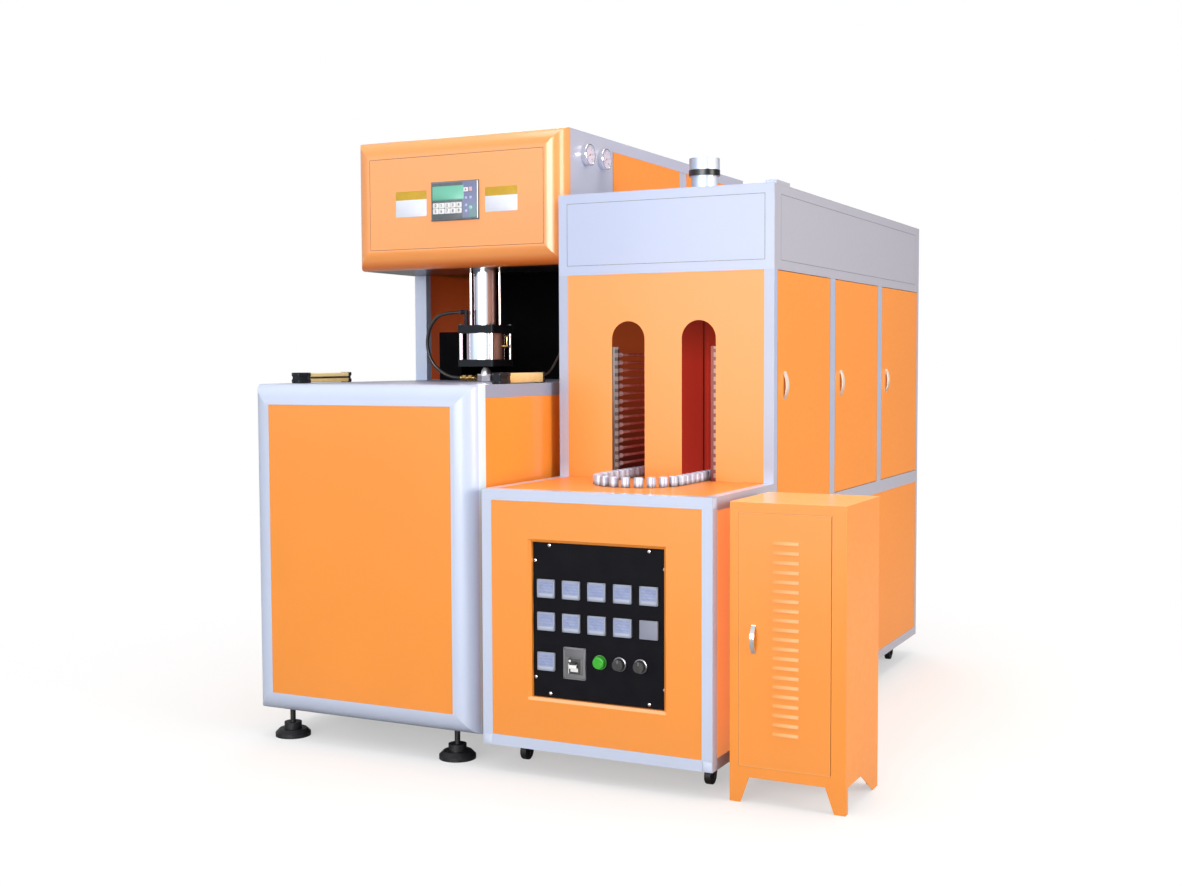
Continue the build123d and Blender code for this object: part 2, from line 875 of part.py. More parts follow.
# Fixed parts of the two slotted cylinders
lock_xs = (blower_mid - lock_offset, blower_mid + lock_offset)
lock_z = table_height + lock_foot_gap + lock_size / 2
lock_block_y = front + lock_start_depth
lock_plate_y = lock_block_y + lock_block_length + seat_gap
lock_barrel_y = lock_plate_y + lock_plate


def waisted_plate(x, y, length):
    """A square plate with a round notch in the middle of each side."""
    with BuildSketch(front_plane(x, y + length, lock_z)) as section:
        RectangleRounded(lock_size, lock_size, lock_corner)
        with PolarLocations(lock_size / 2 + lock_waist / 2, 4):
            Circle(lock_waist, mode=Mode.SUBTRACT)
    extrude(section.sketch, amount=length)


with BuildPart() as lock_cylinders:
    for x, inward in zip(lock_xs, (1, -1)):
        waisted_plate(x, lock_plate_y, lock_plate)
        waisted_plate(x, lock_barrel_y + lock_barrel_length, lock_plate)
        with BuildSketch(front_plane(x, lock_barrel_y + lock_barrel_length, lock_z)):
            RectangleRounded(lock_barrel_size, lock_barrel_size, lock_corner)
            with Locations((inward * lock_barrel_size / 2, 0)):
                Rectangle(2 * lock_slot_cut, lock_slot, mode=Mode.SUBTRACT)
        extrude(amount=lock_barrel_length)
        bore_start = (x, lock_plate_y - 1, lock_z)
        bore_length = 2 * lock_plate + lock_rod_length
        rod(lock_rod_radius + guide_clearance, bore_start, (0, 1, 0), bore_length, Mode.SUBTRACT)
finish_part(lock_cylinders.part, "lock_cylinders")

# Sliding blocks and rods of the two cylinders
with BuildPart() as lock_slides:
    for x in lock_xs:
        waisted_plate(x, lock_block_y, lock_block_length)
        rod_start = (x, lock_block_y + lock_block_length, lock_z)
        rod(lock_rod_radius, rod_start, (0, 1, 0), lock_rod_length)
finish_part(lock_slides.part, "lock_slides")

# Bottle mould in two halves, each on its platen
mould_top = table_height - table_plate - mould_top_margin
mould_z = (mould_top - mould_height, mould_top)
mould_x = (blower_mid - mould_width / 2, blower_mid + mould_width / 2)
platen_x = (blower_mid - platen_width / 2, blower_mid + platen_width / 2)
rear_half_y = axis_y + parting_gap
moving_platen_y = axis_y + mould_half
tie_bar_xs = (blower_mid - tie_bar_x, blower_mid + tie_bar_x)
tie_bar_zs = (mould_top - tie_bar_inset, mould_top - platen_height + tie_bar_inset)


def bottle_cavity():
    """Takes the shape of the bottle out of a mould half."""
    shoulder_z = mould_top - bottle_neck_height
    body_z = shoulder_z - bottle_shoulder
    base_z = body_z - bottle_height
    with BuildSketch(front_plane(blower_mid, axis_y, 0)) as outline:
        with BuildLine():
            Polyline(
                (0, mould_top + 1),
                (0, base_z),
                (bottle_radius - bottle_foot, base_z),
                (bottle_radius, base_z + bottle_foot),
                (bottle_radius, body_z),
            )
            Spline(
                (bottle_radius, body_z),
                (bottle_radius * 0.75, body_z + bottle_shoulder * 0.7),
                (bottle_neck_radius, shoulder_z),
                tangents=((0, 1), (-1, 1)),
            )
            Polyline(
                (bottle_neck_radius, shoulder_z),
                (bottle_neck_radius, mould_top + 1),
                (0, mould_top + 1),
            )
        make_face()
    revolve(outline.sketch, axis=Axis((blower_mid, axis_y, 0), (0, 0, 1)), mode=Mode.SUBTRACT)


def tie_bar_holes(y, length):
    """Bores the four tie bar holes through a platen."""
    for x in tie_bar_xs:
        for z in tie_bar_zs:
            hole_start = (x, y - 1, z)
            hole_radius = tie_bar_radius + guide_clearance
            rod(hole_radius, hole_start, (0, 1, 0), length + 2, Mode.SUBTRACT)


with BuildPart() as mould_front:
    block(mould_x, (axis_y - mould_half, axis_y), mould_z)
    bottle_cavity()
    block(platen_x, (front_platen_y, front_platen_y + platen), (ring_top + seat_gap, mould_top))
    tie_bar_holes(front_platen_y, platen)
finish_part(mould_front.part, "mould_front")

clamp_face_y = rear_plate_y + platen
clamp_rod_length = clamp_face_y + clamp_engagement - moving_platen_y - platen
with BuildPart() as mould_rear:
    block(mould_x, (rear_half_y, moving_platen_y), mould_z)
    bottle_cavity()
    moving_platen = (moving_platen_y, moving_platen_y + platen)
    block(platen_x, moving_platen, (mould_top - platen_height, mould_top))
    tie_bar_holes(moving_platen_y, platen)
    clamp_z = (mould_z[0] + mould_z[1]) / 2
    clamp_rod_start = (blower_mid, moving_platen_y + platen, clamp_z)
    rod(clamp_ram_radius, clamp_rod_start, (0, 1, 0), clamp_rod_length)
finish_part(mould_rear.part, "mould_rear")

# Clamp: four tie bars, the rear plate and the cylinder
with BuildPart() as clamp_unit:
    block(platen_x, (rear_plate_y, clamp_face_y), (ring_top + seat_gap, mould_top))
    for x in tie_bar_xs:
        for z in tie_bar_zs:
            bar_start = (x, front_platen_y - tie_bar_overhang, z)
            bar_length = rear_plate_y - front_platen_y + tie_bar_overhang
            rod(tie_bar_radius, bar_start, (0, 1, 0), bar_length)
            with BuildSketch(front_plane(x, front_platen_y - seat_gap, z)):
                RegularPolygon(1.5 * tie_bar_radius, 6, major_radius=False)
            extrude(amount=tie_bar_nut)
    cylinder_start = (blower_mid, clamp_face_y, clamp_z)
    rod(clamp_cylinder_radius, cylinder_start, (0, 1, 0), clamp_cylinder_length)
    bore_start = (blower_mid, rear_plate_y - 1, clamp_z)
    bore_length = clamp_cylinder_length + platen - clamp_wall
    rod(clamp_ram_radius + guide_clearance, bore_start, (0, 1, 0), bore_length, Mode.SUBTRACT)
finish_part(clamp_unit.part, "clamp_unit")

# Four levelling feet
with BuildPart() as levelling_feet:
    for side in (-1, 1):
        foot_x = blower_mid + side * (blower_width / 2 - foot_inset)
        for y in foot_y:
            with BuildSketch(front_plane(foot_x, y, 0)):
                with BuildLine():
                    Polyline(
                        (0, 0),
                        (foot_pad_radius, 0),
                        (foot_pad_radius, foot_pad_edge),
                        (foot_pad_radius - foot_pad_edge, foot_pad_height),
                        (foot_collar_radius, foot_pad_height),
                        (foot_collar_radius, foot_pad_height + foot_collar_height),
                        (foot_stem_radius, foot_pad_height + foot_collar_height),
                        (foot_stem_radius, blower_bottom + sheet),
                        (0, blower_bottom + sheet),
                        close=True,
                    )
                make_face()
            revolve(axis=Axis((foot_x, y, 0), (0, 0, 1)))
finish_part(levelling_feet.part, "levelling_feet")

# Heater: welded frame of the lower part and the hood
hood_y = front + hood_depth
left_lane = (heater_left, heater_left + heater_tube)
right_lane = (heater_right - heater_tube, heater_right)
inner_span = (left_lane[1] + weld_gap, right_lane[0] - weld_gap)
base_top = heater_bottom + heater_tube
front_band = (front, front + heater_tube)
rear_band = (rear - rear_post, rear)
hood_post_y = (hood_y, hood_y + hood_post)
front_rail_z = (heater_table - heater_tube, heater_table)
side_rail_z = (heater_table - table_rail, heater_table)
low_post_z = (base_top + weld_gap, side_rail_bottom - weld_gap)
high_post_z = (side_rail_top + weld_gap, band_bottom - weld_gap)
door_width = (rear_band[0] - hood_post_y[1] - 2 * door_post) / 3
door_starts = [hood_post_y[1] + i * (door_width + door_post) for i in range(3)]
bearer_x = (heater_mid - bearer_width / 2, heater_mid + bearer_width / 2)
bearer_z = (side_rail_top + weld_gap, side_rail_top + weld_gap + bearer_height)
band_rail_z = (band_bottom + seat_gap, band_bottom + band_rail)
pivot_x = heater_right - pivot_inset
caster_ys = (front + caster_depth, rear - caster_depth)
caster_xs = (heater_left + caster_inset, heater_right - caster_inset)
with BuildPart() as heater_frame:
    for lane in (left_lane, right_lane):
        square_tube(lane, (front, rear), (heater_bottom, base_top))
        square_tube(lane, front_band, (base_top + weld_gap, front_rail_z[0] - weld_gap))
        square_tube(lane, (front_band[1] + weld_gap, hood_y - weld_gap), side_rail_z)
        square_tube(lane, (hood_y, rear), (side_rail_bottom, side_rail_top))
        square_tube(lane, hood_post_y, low_post_z)
        square_tube(lane, rear_band, low_post_z)
        square_tube(lane, hood_post_y, high_post_z)
        square_tube(lane, rear_band, high_post_z)
        for start in door_starts[1:]:
            square_tube(lane, (start - door_post, start), high_post_z)
    for lane_start in (left_lane[0] + panel_seat, right_lane[0] - panel_seat):
        band_x = (lane_start, lane_start + heater_tube)
        square_tube(band_x, (hood_y + panel_seat, rear - panel_seat), band_rail_z)
    square_tube((heater_left, heater_right), front_band, front_rail_z)
    for band in (front_band, rear_band):
        square_tube(inner_span, band, (heater_bottom, base_top))
    square_tube(inner_span, rear_band, (side_rail_bottom, side_rail_top))
    for start in door_starts:
        bearer_y = (start, start + heater_tube)
        square_tube(inner_span, bearer_y, (side_rail_top - heater_tube, side_rail_top))
    bearer_start = front + track_front_depth - track_radius
    square_tube(bearer_x, (bearer_start, bearer_start + track_length + 2 * track_radius), bearer_z)
    for x in caster_xs:
        for y in caster_ys:
            plate_x = (x - caster_plate_side / 2, x + caster_plate_side / 2)
            plate_y = (y - caster_plate_side / 2, y + caster_plate_side / 2)
            block(plate_x, plate_y, (heater_bottom - caster_plate, heater_bottom - weld_gap))
    for start in door_starts:
        pivot_y = start + door_width - pivot_edge
        pivot_low = (pivot_x, pivot_y, side_rail_top - pivot_length)
        rod(pivot_radius + pivot_fit, pivot_low, (0, 0, 1), 2 * pivot_length, Mode.SUBTRACT)
        pivot_high = (pivot_x, pivot_y, band_bottom - 1)
        rod(pivot_radius + pivot_fit, pivot_high, (0, 0, 1), pivot_length, Mode.SUBTRACT)
finish_part(heater_frame.part, "heater_frame")

# Front panel of the heater, with a bevelled recess for the controls
control_x = heater_mid + control_shift
control_z = control_bottom + control_height / 2
panel_front = front + panel_setback
recess_rear = panel_front + control_recess
front_fill_x = (left_lane[1] + seat_gap, right_lane[0] - seat_gap)
with BuildPart() as heater_front_panel:
    front_fill_z = (base_top + seat_gap, front_rail_z[0] - seat_gap)
    block(front_fill_x, (panel_front, panel_front + sheet), front_fill_z)
    rim_half_x = control_width / 2 + recess_rim
    rim_half_z = control_height / 2 + recess_rim
    block(
        (control_x - rim_half_x, control_x + rim_half_x),
        (panel_front, recess_rear),
        (control_z - rim_half_z, control_z + rim_half_z),
    )
    block(
        (control_x - control_width / 2, control_x + control_width / 2),
        (panel_front - 1, recess_rear + 1),
        (control_z - control_height / 2, control_z + control_height / 2),
        mode=Mode.SUBTRACT,
    )
    recess_edges = heater_front_panel.faces().sort_by(Axis.Y)[0].inner_wires()[0].edges()
    chamfer(recess_edges, control_bevel)
finish_part(heater_front_panel.part, "heater_front_panel")

# Orange side and rear panels of the heater
side_fill = sheet + panel_setback
low_side_y = (
    (front_band[1] + seat_gap, hood_y - seat_gap),
    (hood_post_y[1] + seat_gap, rear_band[0] - seat_gap),
)
low_side_tops = (side_rail_z[0], side_rail_bottom)
with BuildPart() as heater_panels:
    for x in (heater_left + panel_setback, heater_right - side_fill):
        for span, top in zip(low_side_y, low_side_tops):
            block((x, x + sheet), span, (base_top + seat_gap, top - seat_gap))
    left_wall_x = (heater_left + panel_setback, heater_left + side_fill)
    for start in door_starts:
        wall_y = (start + seat_gap, start + door_width - seat_gap)
        block(left_wall_x, wall_y, (side_rail_top + seat_gap, band_bottom - seat_gap))
    rear_fill_y = (rear - side_fill, rear - panel_setback)
    block(front_fill_x, rear_fill_y, (base_top + seat_gap, side_rail_bottom - seat_gap))
    block(front_fill_x, rear_fill_y, (side_rail_top + seat_gap, band_bottom - seat_gap))
finish_part(heater_panels.part, "heater_panels")

# Heater table with the slot that the holders run in
track_middle_y = front + track_front_depth + track_length / 2


def track_ring(z, width, height, mode=Mode.ADD):
    """A band of a given width along the middle line of the track."""
    with BuildSketch(Plane(origin=(heater_mid, track_middle_y, z))) as ring:
        SlotCenterToCenter(track_length, 2 * track_radius + width, rotation=90)
        SlotCenterToCenter(track_length, 2 * track_radius - width, rotation=90, mode=Mode.SUBTRACT)
    extrude(ring.sketch, amount=height, mode=mode)


table_fill_y = (front_band[1] + seat_gap, rear_band[0] - seat_gap)
with BuildPart() as heater_table_plate:
    block(front_fill_x, table_fill_y, (heater_table - table_sheet, heater_table))
    track_ring(heater_table - 2 * table_sheet, track_slot, 3 * table_sheet, Mode.SUBTRACT)
    for y in (hood_y + track_radius, rear - hood_depth - track_radius):
        spacer_y = (y - bearer_width / 2, y + bearer_width / 2)
        block(bearer_x, spacer_y, (bearer_z[1] + seat_gap, heater_table - table_sheet))
finish_part(heater_table_plate.part, "heater_table")

# Front panel of the hood with two arches
arch_xs = (heater_mid - arch_offset, heater_mid + arch_offset)
with BuildPart() as hood_front:
    hood_front_y = (hood_y + panel_setback, hood_y + panel_setback + sheet)
    block(front_fill_x, hood_front_y, (heater_table + seat_gap, band_bottom - seat_gap))
    for x in arch_xs:
        spring_z = arch_top - arch_width / 2
        arch_x = (x - arch_width / 2, x + arch_width / 2)
        arch_cut_y = (hood_y - 1, hood_y + 3 * sheet)
        block(arch_x, arch_cut_y, (heater_table - 1, spring_z), mode=Mode.SUBTRACT)
        rod(arch_width / 2, (x, hood_y - 1, spring_z), (0, 1, 0), 4 * sheet, Mode.SUBTRACT)
finish_part(hood_front.part, "hood_front")

# White cover of the hood: fascia, sides, back and roof
cover_z = (band_bottom, hood_top - sheet - seat_gap)
cover_middle_z = (band_bottom + hood_top) / 2
cover_groove_height = hood_top - band_bottom - 2 * band_groove_inset
cover_side_y = (hood_y + panel_seat, rear - panel_seat)
with BuildPart() as hood_cover:
    block((heater_left, heater_right), (hood_y, hood_y + sheet), cover_z)
    block((heater_left, heater_right), (rear - sheet, rear), cover_z)
    for edge in (heater_left, heater_right - sheet):
        block((edge, edge + sheet), cover_side_y, cover_z)
    block((heater_left, heater_right), (hood_y, rear), (hood_top - sheet, hood_top))
    tab_y = (hood_y + roof_tab_setback, hood_y + roof_tab_setback + roof_tab_length)
    tab_z = (hood_top, hood_top + roof_tab_rise)
    block((heater_right - roof_tab_width, heater_right), tab_y, tab_z)
    groove_frame(
        front_plane(heater_mid, hood_y, cover_middle_z),
        heater_width - 2 * band_groove_inset,
        cover_groove_height,
    )
    groove_frame(
        side_plane(heater_right, (hood_y + rear) / 2, cover_middle_z),
        machine_depth - hood_depth - 4 * band_groove_inset,
        cover_groove_height,
    )
    vent_low = (heater_mid, front + exhaust_depth, hood_top - 2 * sheet)
    rod(exhaust_radius, vent_low, (0, 0, 1), 4 * sheet, Mode.SUBTRACT)
finish_part(hood_cover.part, "hood_cover")

# Black plate of the controls, bored for its instruments
plate_y = (recess_rear + seat_gap, recess_rear + seat_gap + control_plate)
meter_places = [
    (heater_right + meter_first_x + column * meter_pitch_x, z)
    for count, z in zip(meter_columns, meter_rows)
    for column in range(count)
]
button_place = (heater_mid + button_x, knob_z)
knob_places = [(heater_mid + x, knob_z) for x in knob_xs]
breaker_place = (heater_mid + breaker_x, breaker_z)
meter_hole = meter_body + 2 * instrument_fit
with BuildPart() as control_panel:
    block(
        (control_x - control_width / 2 - control_lip, control_x + control_width / 2 + control_lip),
        plate_y,
        (
            control_z - control_height / 2 - control_lip,
            control_z + control_height / 2 + control_lip,
        ),
    )
    hole_y = (plate_y[0] - 1, plate_y[1] + 1)
    for x, z in meter_places:
        half = meter_hole / 2
        block((x - half, x + half), hole_y, (z - half, z + half), mode=Mode.SUBTRACT)
    x, z = breaker_place
    half_x = breaker_body_width / 2 + instrument_fit
    half_z = breaker_body_height / 2 + instrument_fit
    block((x - half_x, x + half_x), hole_y, (z - half_z, z + half_z), mode=Mode.SUBTRACT)
    holes = [(button_place, button_stem_radius)]
    holes += [(place, knob_stem_radius) for place in knob_places]
    for (x, z), radius in holes:
        hole_start = (x, hole_y[0], z)
        rod(radius + stem_clearance, hole_start, (0, 1, 0), 2 * control_plate, Mode.SUBTRACT)
finish_part(control_panel.part, "control_panel")

# Meters, breaker body and the collars of the button and knobs
instrument_face = plate_y[0] - seat_gap
with BuildPart() as panel_instruments:
    for x, z in meter_places:
        with BuildSketch(front_plane(x, instrument_face, z)):
            RectangleRounded(meter_width, meter_height, meter_corner)
        extrude(amount=meter_rise)
        half = meter_body / 2
        meter_y = (instrument_face, instrument_face + meter_depth)
        block((x - half, x + half), meter_y, (z - half, z + half))
    x, z = breaker_place
    with BuildSketch(front_plane(x, instrument_face, z)):
        RectangleRounded(breaker_width, breaker_height, meter_corner)
    extrude(amount=breaker_rise)
    block(
        (x - breaker_body_width / 2, x + breaker_body_width / 2),
        (instrument_face, instrument_face + breaker_body_depth),
        (z - breaker_body_height / 2, z + breaker_body_height / 2),
    )
    block(
        (x - breaker_slot_width / 2, x + breaker_slot_width / 2),
        (instrument_face - 2 * breaker_rise, instrument_face + breaker_slot_depth),
        (z - breaker_slot_height / 2, z + breaker_slot_height / 2),
        mode=Mode.SUBTRACT,
    )
    x, z = button_place
    collar_start = (x, instrument_face, z)
    collar_bore = button_radius + stem_clearance
    pipe(button_collar_radius, collar_bore, collar_start, (0, -1, 0), button_collar)
    for x, z in knob_places:
        ring_start = (x, instrument_face, z)
        pipe(knob_ring_radius, knob_stem_radius + stem_clearance, ring_start, (0, -1, 0), knob_ring)
finish_part(panel_instruments.part, "panel_instruments")

# Breaker lever, on a pivot inside the breaker
lever_x, lever_z = breaker_place
lever_y = instrument_face + lever_pivot_depth
with BuildPart() as breaker_lever:
    lever_start = (lever_x - lever_width / 2, lever_y, lever_z)
    rod(lever_pivot_radius, lever_start, (1, 0, 0), lever_width)
    block(
        (lever_x - lever_width / 2, lever_x + lever_width / 2),
        (instrument_face - breaker_rise - lever_length, lever_y),
        (lever_z - lever_thickness / 2, lever_z + lever_thickness / 2),
    )
    fillet(breaker_lever.edges().filter_by(Axis.X).group_by(Axis.Y)[0], lever_thickness / 3)
finish_part(breaker_lever.part, "breaker_lever")

# Sprung start button
with BuildPart() as start_button:
    x, z = button_place
    cap_rear = instrument_face - button_travel - stem_clearance
    rod(button_radius, (x, cap_rear, z), (0, -1, 0), button_height)
    fillet(start_button.faces().sort_by(Axis.Y)[0].edges(), button_edge)
    rod(button_stem_radius, (x, cap_rear, z), (0, 1, 0), stem_length)
finish_part(start_button.part, "start_button")


def speed_knob(place):
    """A fluted knob with a flat pointer line and its stem."""
    x, z = place
    ring_face = instrument_face - knob_ring - stem_clearance
    with BuildPart() as knob:
        with BuildSketch(front_plane(x, ring_face, z)):
            Circle(knob_radius)
            with PolarLocations(knob_radius + knob_flute / 2, knob_flutes):
                Circle(knob_flute, mode=Mode.SUBTRACT)
        extrude(amount=knob_height)
        with BuildSketch(front_plane(x, ring_face, z)):
            Circle(knob_skirt_radius)
        extrude(amount=knob_skirt)
        block(
            (x - knob_flute / 2, x + knob_flute / 2),
            (ring_face - knob_height - 1, ring_face - knob_height + 1),
            (z, z + knob_radius),
            mode=Mode.SUBTRACT,
        )
        rod(knob_stem_radius, (x, ring_face, z), (0, 1, 0), stem_length)
    return knob.part


finish_part(speed_knob(knob_places[0]), "speed_knob_left")
finish_part(speed_knob(knob_places[1]), "speed_knob_right")


# Doors on the right side of the hood, each on two pivots at its rear edge
door_z = (side_rail_top + door_clearance, band_bottom - door_clearance)


def hood_door(start):
    """A folded door leaf with a pivot pin above and below."""
    leaf_y = (start + door_clearance, start + door_width - door_clearance)
    with BuildPart() as door:
        block((heater_right - door_return, heater_right), leaf_y, door_z)
        block(
            (heater_right - 2 * door_return, heater_right - sheet),
            (leaf_y[0] + sheet, leaf_y[1] - sheet),
            (door_z[0] + sheet, door_z[1] - sheet),
            mode=Mode.SUBTRACT,
        )
        pivot_y = start + door_width - pivot_edge
        pin_length = door_clearance + pivot_engagement
        rod(pivot_radius, (pivot_x, pivot_y, door_z[0] + sheet), (0, 0, -1), pin_length + sheet)
        rod(pivot_radius, (pivot_x, pivot_y, door_z[1] - sheet), (0, 0, 1), pin_length + sheet)
    return door.part


def pull_handle(plane, length, rise, width):
    """A bowed pull whose two ends sit on the plane."""
    with BuildPart() as handle:
        with BuildSketch(plane):
            with BuildLine():
                ThreePointArc((0, -length / 2), (rise, 0), (0, length / 2))
                Line((0, length / 2), (0, length / 2 - handle_foot))
                ThreePointArc(
                    (0, length / 2 - handle_foot),
                    (rise - handle_thickness, 0),
                    (0, handle_foot - length / 2),
                )
                Line((0, handle_foot - length / 2), (0, -length / 2))
            make_face()
        extrude(amount=width / 2, both=True)
    return handle.part


for start, name in zip(door_starts, ("door_front", "door_middle", "door_rear")):
    finish_part(hood_door(start), name)
    handle_middle = handle_height + handle_length / 2
    handle_place = (heater_right + seat_gap, start + handle_inset, handle_middle)
    handle_plane = Plane(origin=handle_place, x_dir=(1, 0, 0), z_dir=(0, -1, 0))
    handle = pull_handle(handle_plane, handle_length, handle_rise, handle_width)
    finish_part(handle, name + "_handle")

# Exhaust pipe on the roof
with BuildPart() as exhaust_duct:
    exhaust_start = (heater_mid, front + exhaust_depth, hood_top + seat_gap)
    wall = exhaust_radius - sheet
    pipe(exhaust_radius, wall, exhaust_start, (0, 0, 1), exhaust_pipe_height)
    pipe(exhaust_radius + exhaust_flange, wall, exhaust_start, (0, 0, 1), sheet)
    band_start = (heater_mid, front + exhaust_depth, hood_top + exhaust_pipe_height)
    pipe(exhaust_band_radius, wall, band_start, (0, 0, 1), exhaust_band_height)
    cap_start = (heater_mid, front + exhaust_depth, band_start[2] + exhaust_band_height)
    pipe(exhaust_cap_radius, exhaust_cap_radius - sheet, cap_start, (0, 0, 1), exhaust_cap_height)
finish_part(exhaust_duct.part, "exhaust_duct")


def track_place(distance):
    """The x and y of a point on the middle line of the track."""
    turn = pi * track_radius
    front_centre = front + track_front_depth
    distance %= 2 * (track_length + turn)
    if distance < track_length:
        return heater_mid + track_radius, front_centre + distance
    distance -= track_length
    if distance < turn:
        angle = distance / track_radius
        rear_centre = front_centre + track_length
        return heater_mid + track_radius * cos(angle), rear_centre + track_radius * sin(angle)
    distance -= turn
    if distance < track_length:
        return heater_mid - track_radius, front_centre + track_length - distance
    angle = pi + (distance - track_length) / track_radius
    return heater_mid + track_radius * cos(angle), front_centre + track_radius * sin(angle)


# Preform holders all round the track
track_total = 2 * (track_length + pi * track_radius)
holder_top = heater_table + holder_gap + holder_height
with BuildPart() as preform_holders:
    for i in range(holder_count):
        x, y = track_place(i * track_total / holder_count)
        with BuildSketch(front_plane(x, y, 0)):
            with BuildLine():
                Polyline(
                    (0, chain_top + seat_gap),
                    (holder_stem_radius, chain_top + seat_gap),
                    (holder_stem_radius, heater_table + holder_gap),
                    (holder_radius, heater_table + holder_gap),
                    (holder_radius, holder_top - holder_chamfer),
                    (holder_radius - holder_chamfer, holder_top),
                    (0, holder_top),
                    close=True,
                )
            make_face()
        revolve(axis=Axis((x, y, 0), (0, 0, 1)))
finish_part(preform_holders.part, "preform_holders")

# Chain with its two sprockets and the motor under the rear one
sprocket_ys = (front + track_front_depth, front + track_front_depth + track_length)
sprocket_z = chain_top - (chain_height + sprocket_height) / 2
with BuildPart() as chain_drive:
    track_ring(chain_top - chain_height, chain_width, chain_height)
    for y in sprocket_ys:
        rod(track_radius - chain_width / 2, (heater_mid, y, sprocket_z), (0, 0, 1), sprocket_height)
        shaft_low = (heater_mid, y, bearer_z[1] + seat_gap)
        rod(sprocket_shaft_radius, shaft_low, (0, 0, 1), sprocket_z - shaft_low[2])
    motor_top = (heater_mid, sprocket_ys[1], bearer_z[0] - seat_gap)
    rod(motor_radius, motor_top, (0, 0, -1), motor_length)
finish_part(chain_drive.part, "chain_drive")

# Infrared lamps, with ceramic ends
lamp_xs = (heater_mid - lamp_offset, heater_mid + lamp_offset)
lamp_start_y = front + lamp_front_depth
with BuildPart() as heat_lamps:
    for x in lamp_xs:
        for i in range(lamp_count):
            z = lamp_first_height + i * lamp_pitch
            rod(lamp_radius, (x, lamp_start_y, z), (0, 1, 0), lamp_length)
            for y in (lamp_start_y, lamp_start_y + lamp_length - lamp_cap_length):
                rod(lamp_cap_radius, (x, y, z), (0, 1, 0), lamp_cap_length)
finish_part(heat_lamps.part, "heat_lamps")

def centre_reflector_outline():
    """Corners of the centre reflector from above, with a channel at each fold."""
    half = centre_reflector_half
    start = front + centre_reflector_front
    side = [(half, start)]
    for i in range(reflector_folds):
        fold = front + reflector_fold_depth + i * reflector_fold_pitch
        side += [
            (half, fold),
            (half - reflector_fold_cut, fold),
            (half - reflector_fold_cut, fold + reflector_fold),
            (half, fold + reflector_fold),
        ]
    side.append((half, start + centre_reflector_length))
    return side + [(-x, y) for x, y in reversed(side)]


# Lamp brackets and reflectors
rail_z = (heater_table + seat_gap, lamp_first_height + lamp_count * lamp_pitch)
reflector_z = (heater_table + seat_gap, heater_table + reflector_height)
with BuildPart() as lamp_rails:
    for x in lamp_xs:
        bracket_x = (x - lamp_bracket_width / 2, x + lamp_bracket_width / 2)
        front_bracket_y = (lamp_start_y - seat_gap - lamp_bracket, lamp_start_y - seat_gap)
        block(bracket_x, front_bracket_y, rail_z)
        rear_bracket_y = lamp_start_y + lamp_length + seat_gap
        block(bracket_x, (rear_bracket_y, rear_bracket_y + lamp_bracket), rail_z)
    for x in (heater_mid - reflector_offset, heater_mid + reflector_offset - sheet):
        block((x, x + sheet), (lamp_start_y, lamp_start_y + lamp_length), reflector_z)
    with BuildSketch(Plane(origin=(heater_mid, 0, reflector_z[0]))):
        with BuildLine():
            Polyline(*centre_reflector_outline(), close=True)
        make_face()
        offset(amount=-sheet, mode=Mode.SUBTRACT)
    extrude(amount=reflector_z[1] - reflector_z[0])
finish_part(lamp_rails.part, "lamp_rails")


def caster_fork(x, y):
    """The swivelling fork of a caster, with a trailing axle."""
    head_top_z = heater_bottom - caster_plate - caster_gap
    axle_y = y - caster_trail
    leg_inner = caster_wheel_width / 2 + fork_gap
    fork_toe_z = caster_wheel_radius - fork_leg_width / 3
    with BuildPart() as fork:
        rod(caster_head_radius, (x, y, head_top_z), (0, 0, -1), caster_head_height)
        for side in (-1, 1):
            leg_start = (x + side * leg_inner, 0, 0)
            with BuildSketch(Plane(origin=leg_start, x_dir=(0, side, 0), z_dir=(side, 0, 0))):
                with BuildLine():
                    Polyline(
                        (side * (y - fork_leg_width / 2), head_top_z),
                        (side * (y + fork_leg_width / 2), head_top_z),
                        (side * (axle_y + fork_leg_width / 3), fork_toe_z),
                        (side * (axle_y - fork_leg_width / 3), fork_toe_z),
                        close=True,
                    )
                make_face()
            extrude(amount=fork_wall)
        axle_start = (x - leg_inner - fork_wall, axle_y, caster_wheel_radius)
        rod(axle_radius, axle_start, (1, 0, 0), 2 * (leg_inner + fork_wall))
    return fork.part


def caster_wheel(x, y):
    """The wheel of a caster, bored for the axle."""
    with BuildPart() as wheel:
        wheel_start = (x - caster_wheel_width / 2, y - caster_trail, caster_wheel_radius)
        rod(caster_wheel_radius, wheel_start, (1, 0, 0), caster_wheel_width)
        fillet(wheel.edges(), caster_edge)
        bore_radius = axle_radius + running_fit
        rod(bore_radius, wheel_start, (1, 0, 0), caster_wheel_width, Mode.SUBTRACT)
    return wheel.part


caster_names = (("front_left", "rear_left"), ("front_right", "rear_right"))
for x, names in zip(caster_xs, caster_names):
    for y, name in zip(caster_ys, names):
        finish_part(caster_fork(x, y), f"caster_fork_{name}")
        finish_part(caster_wheel(x, y), f"caster_wheel_{name}")

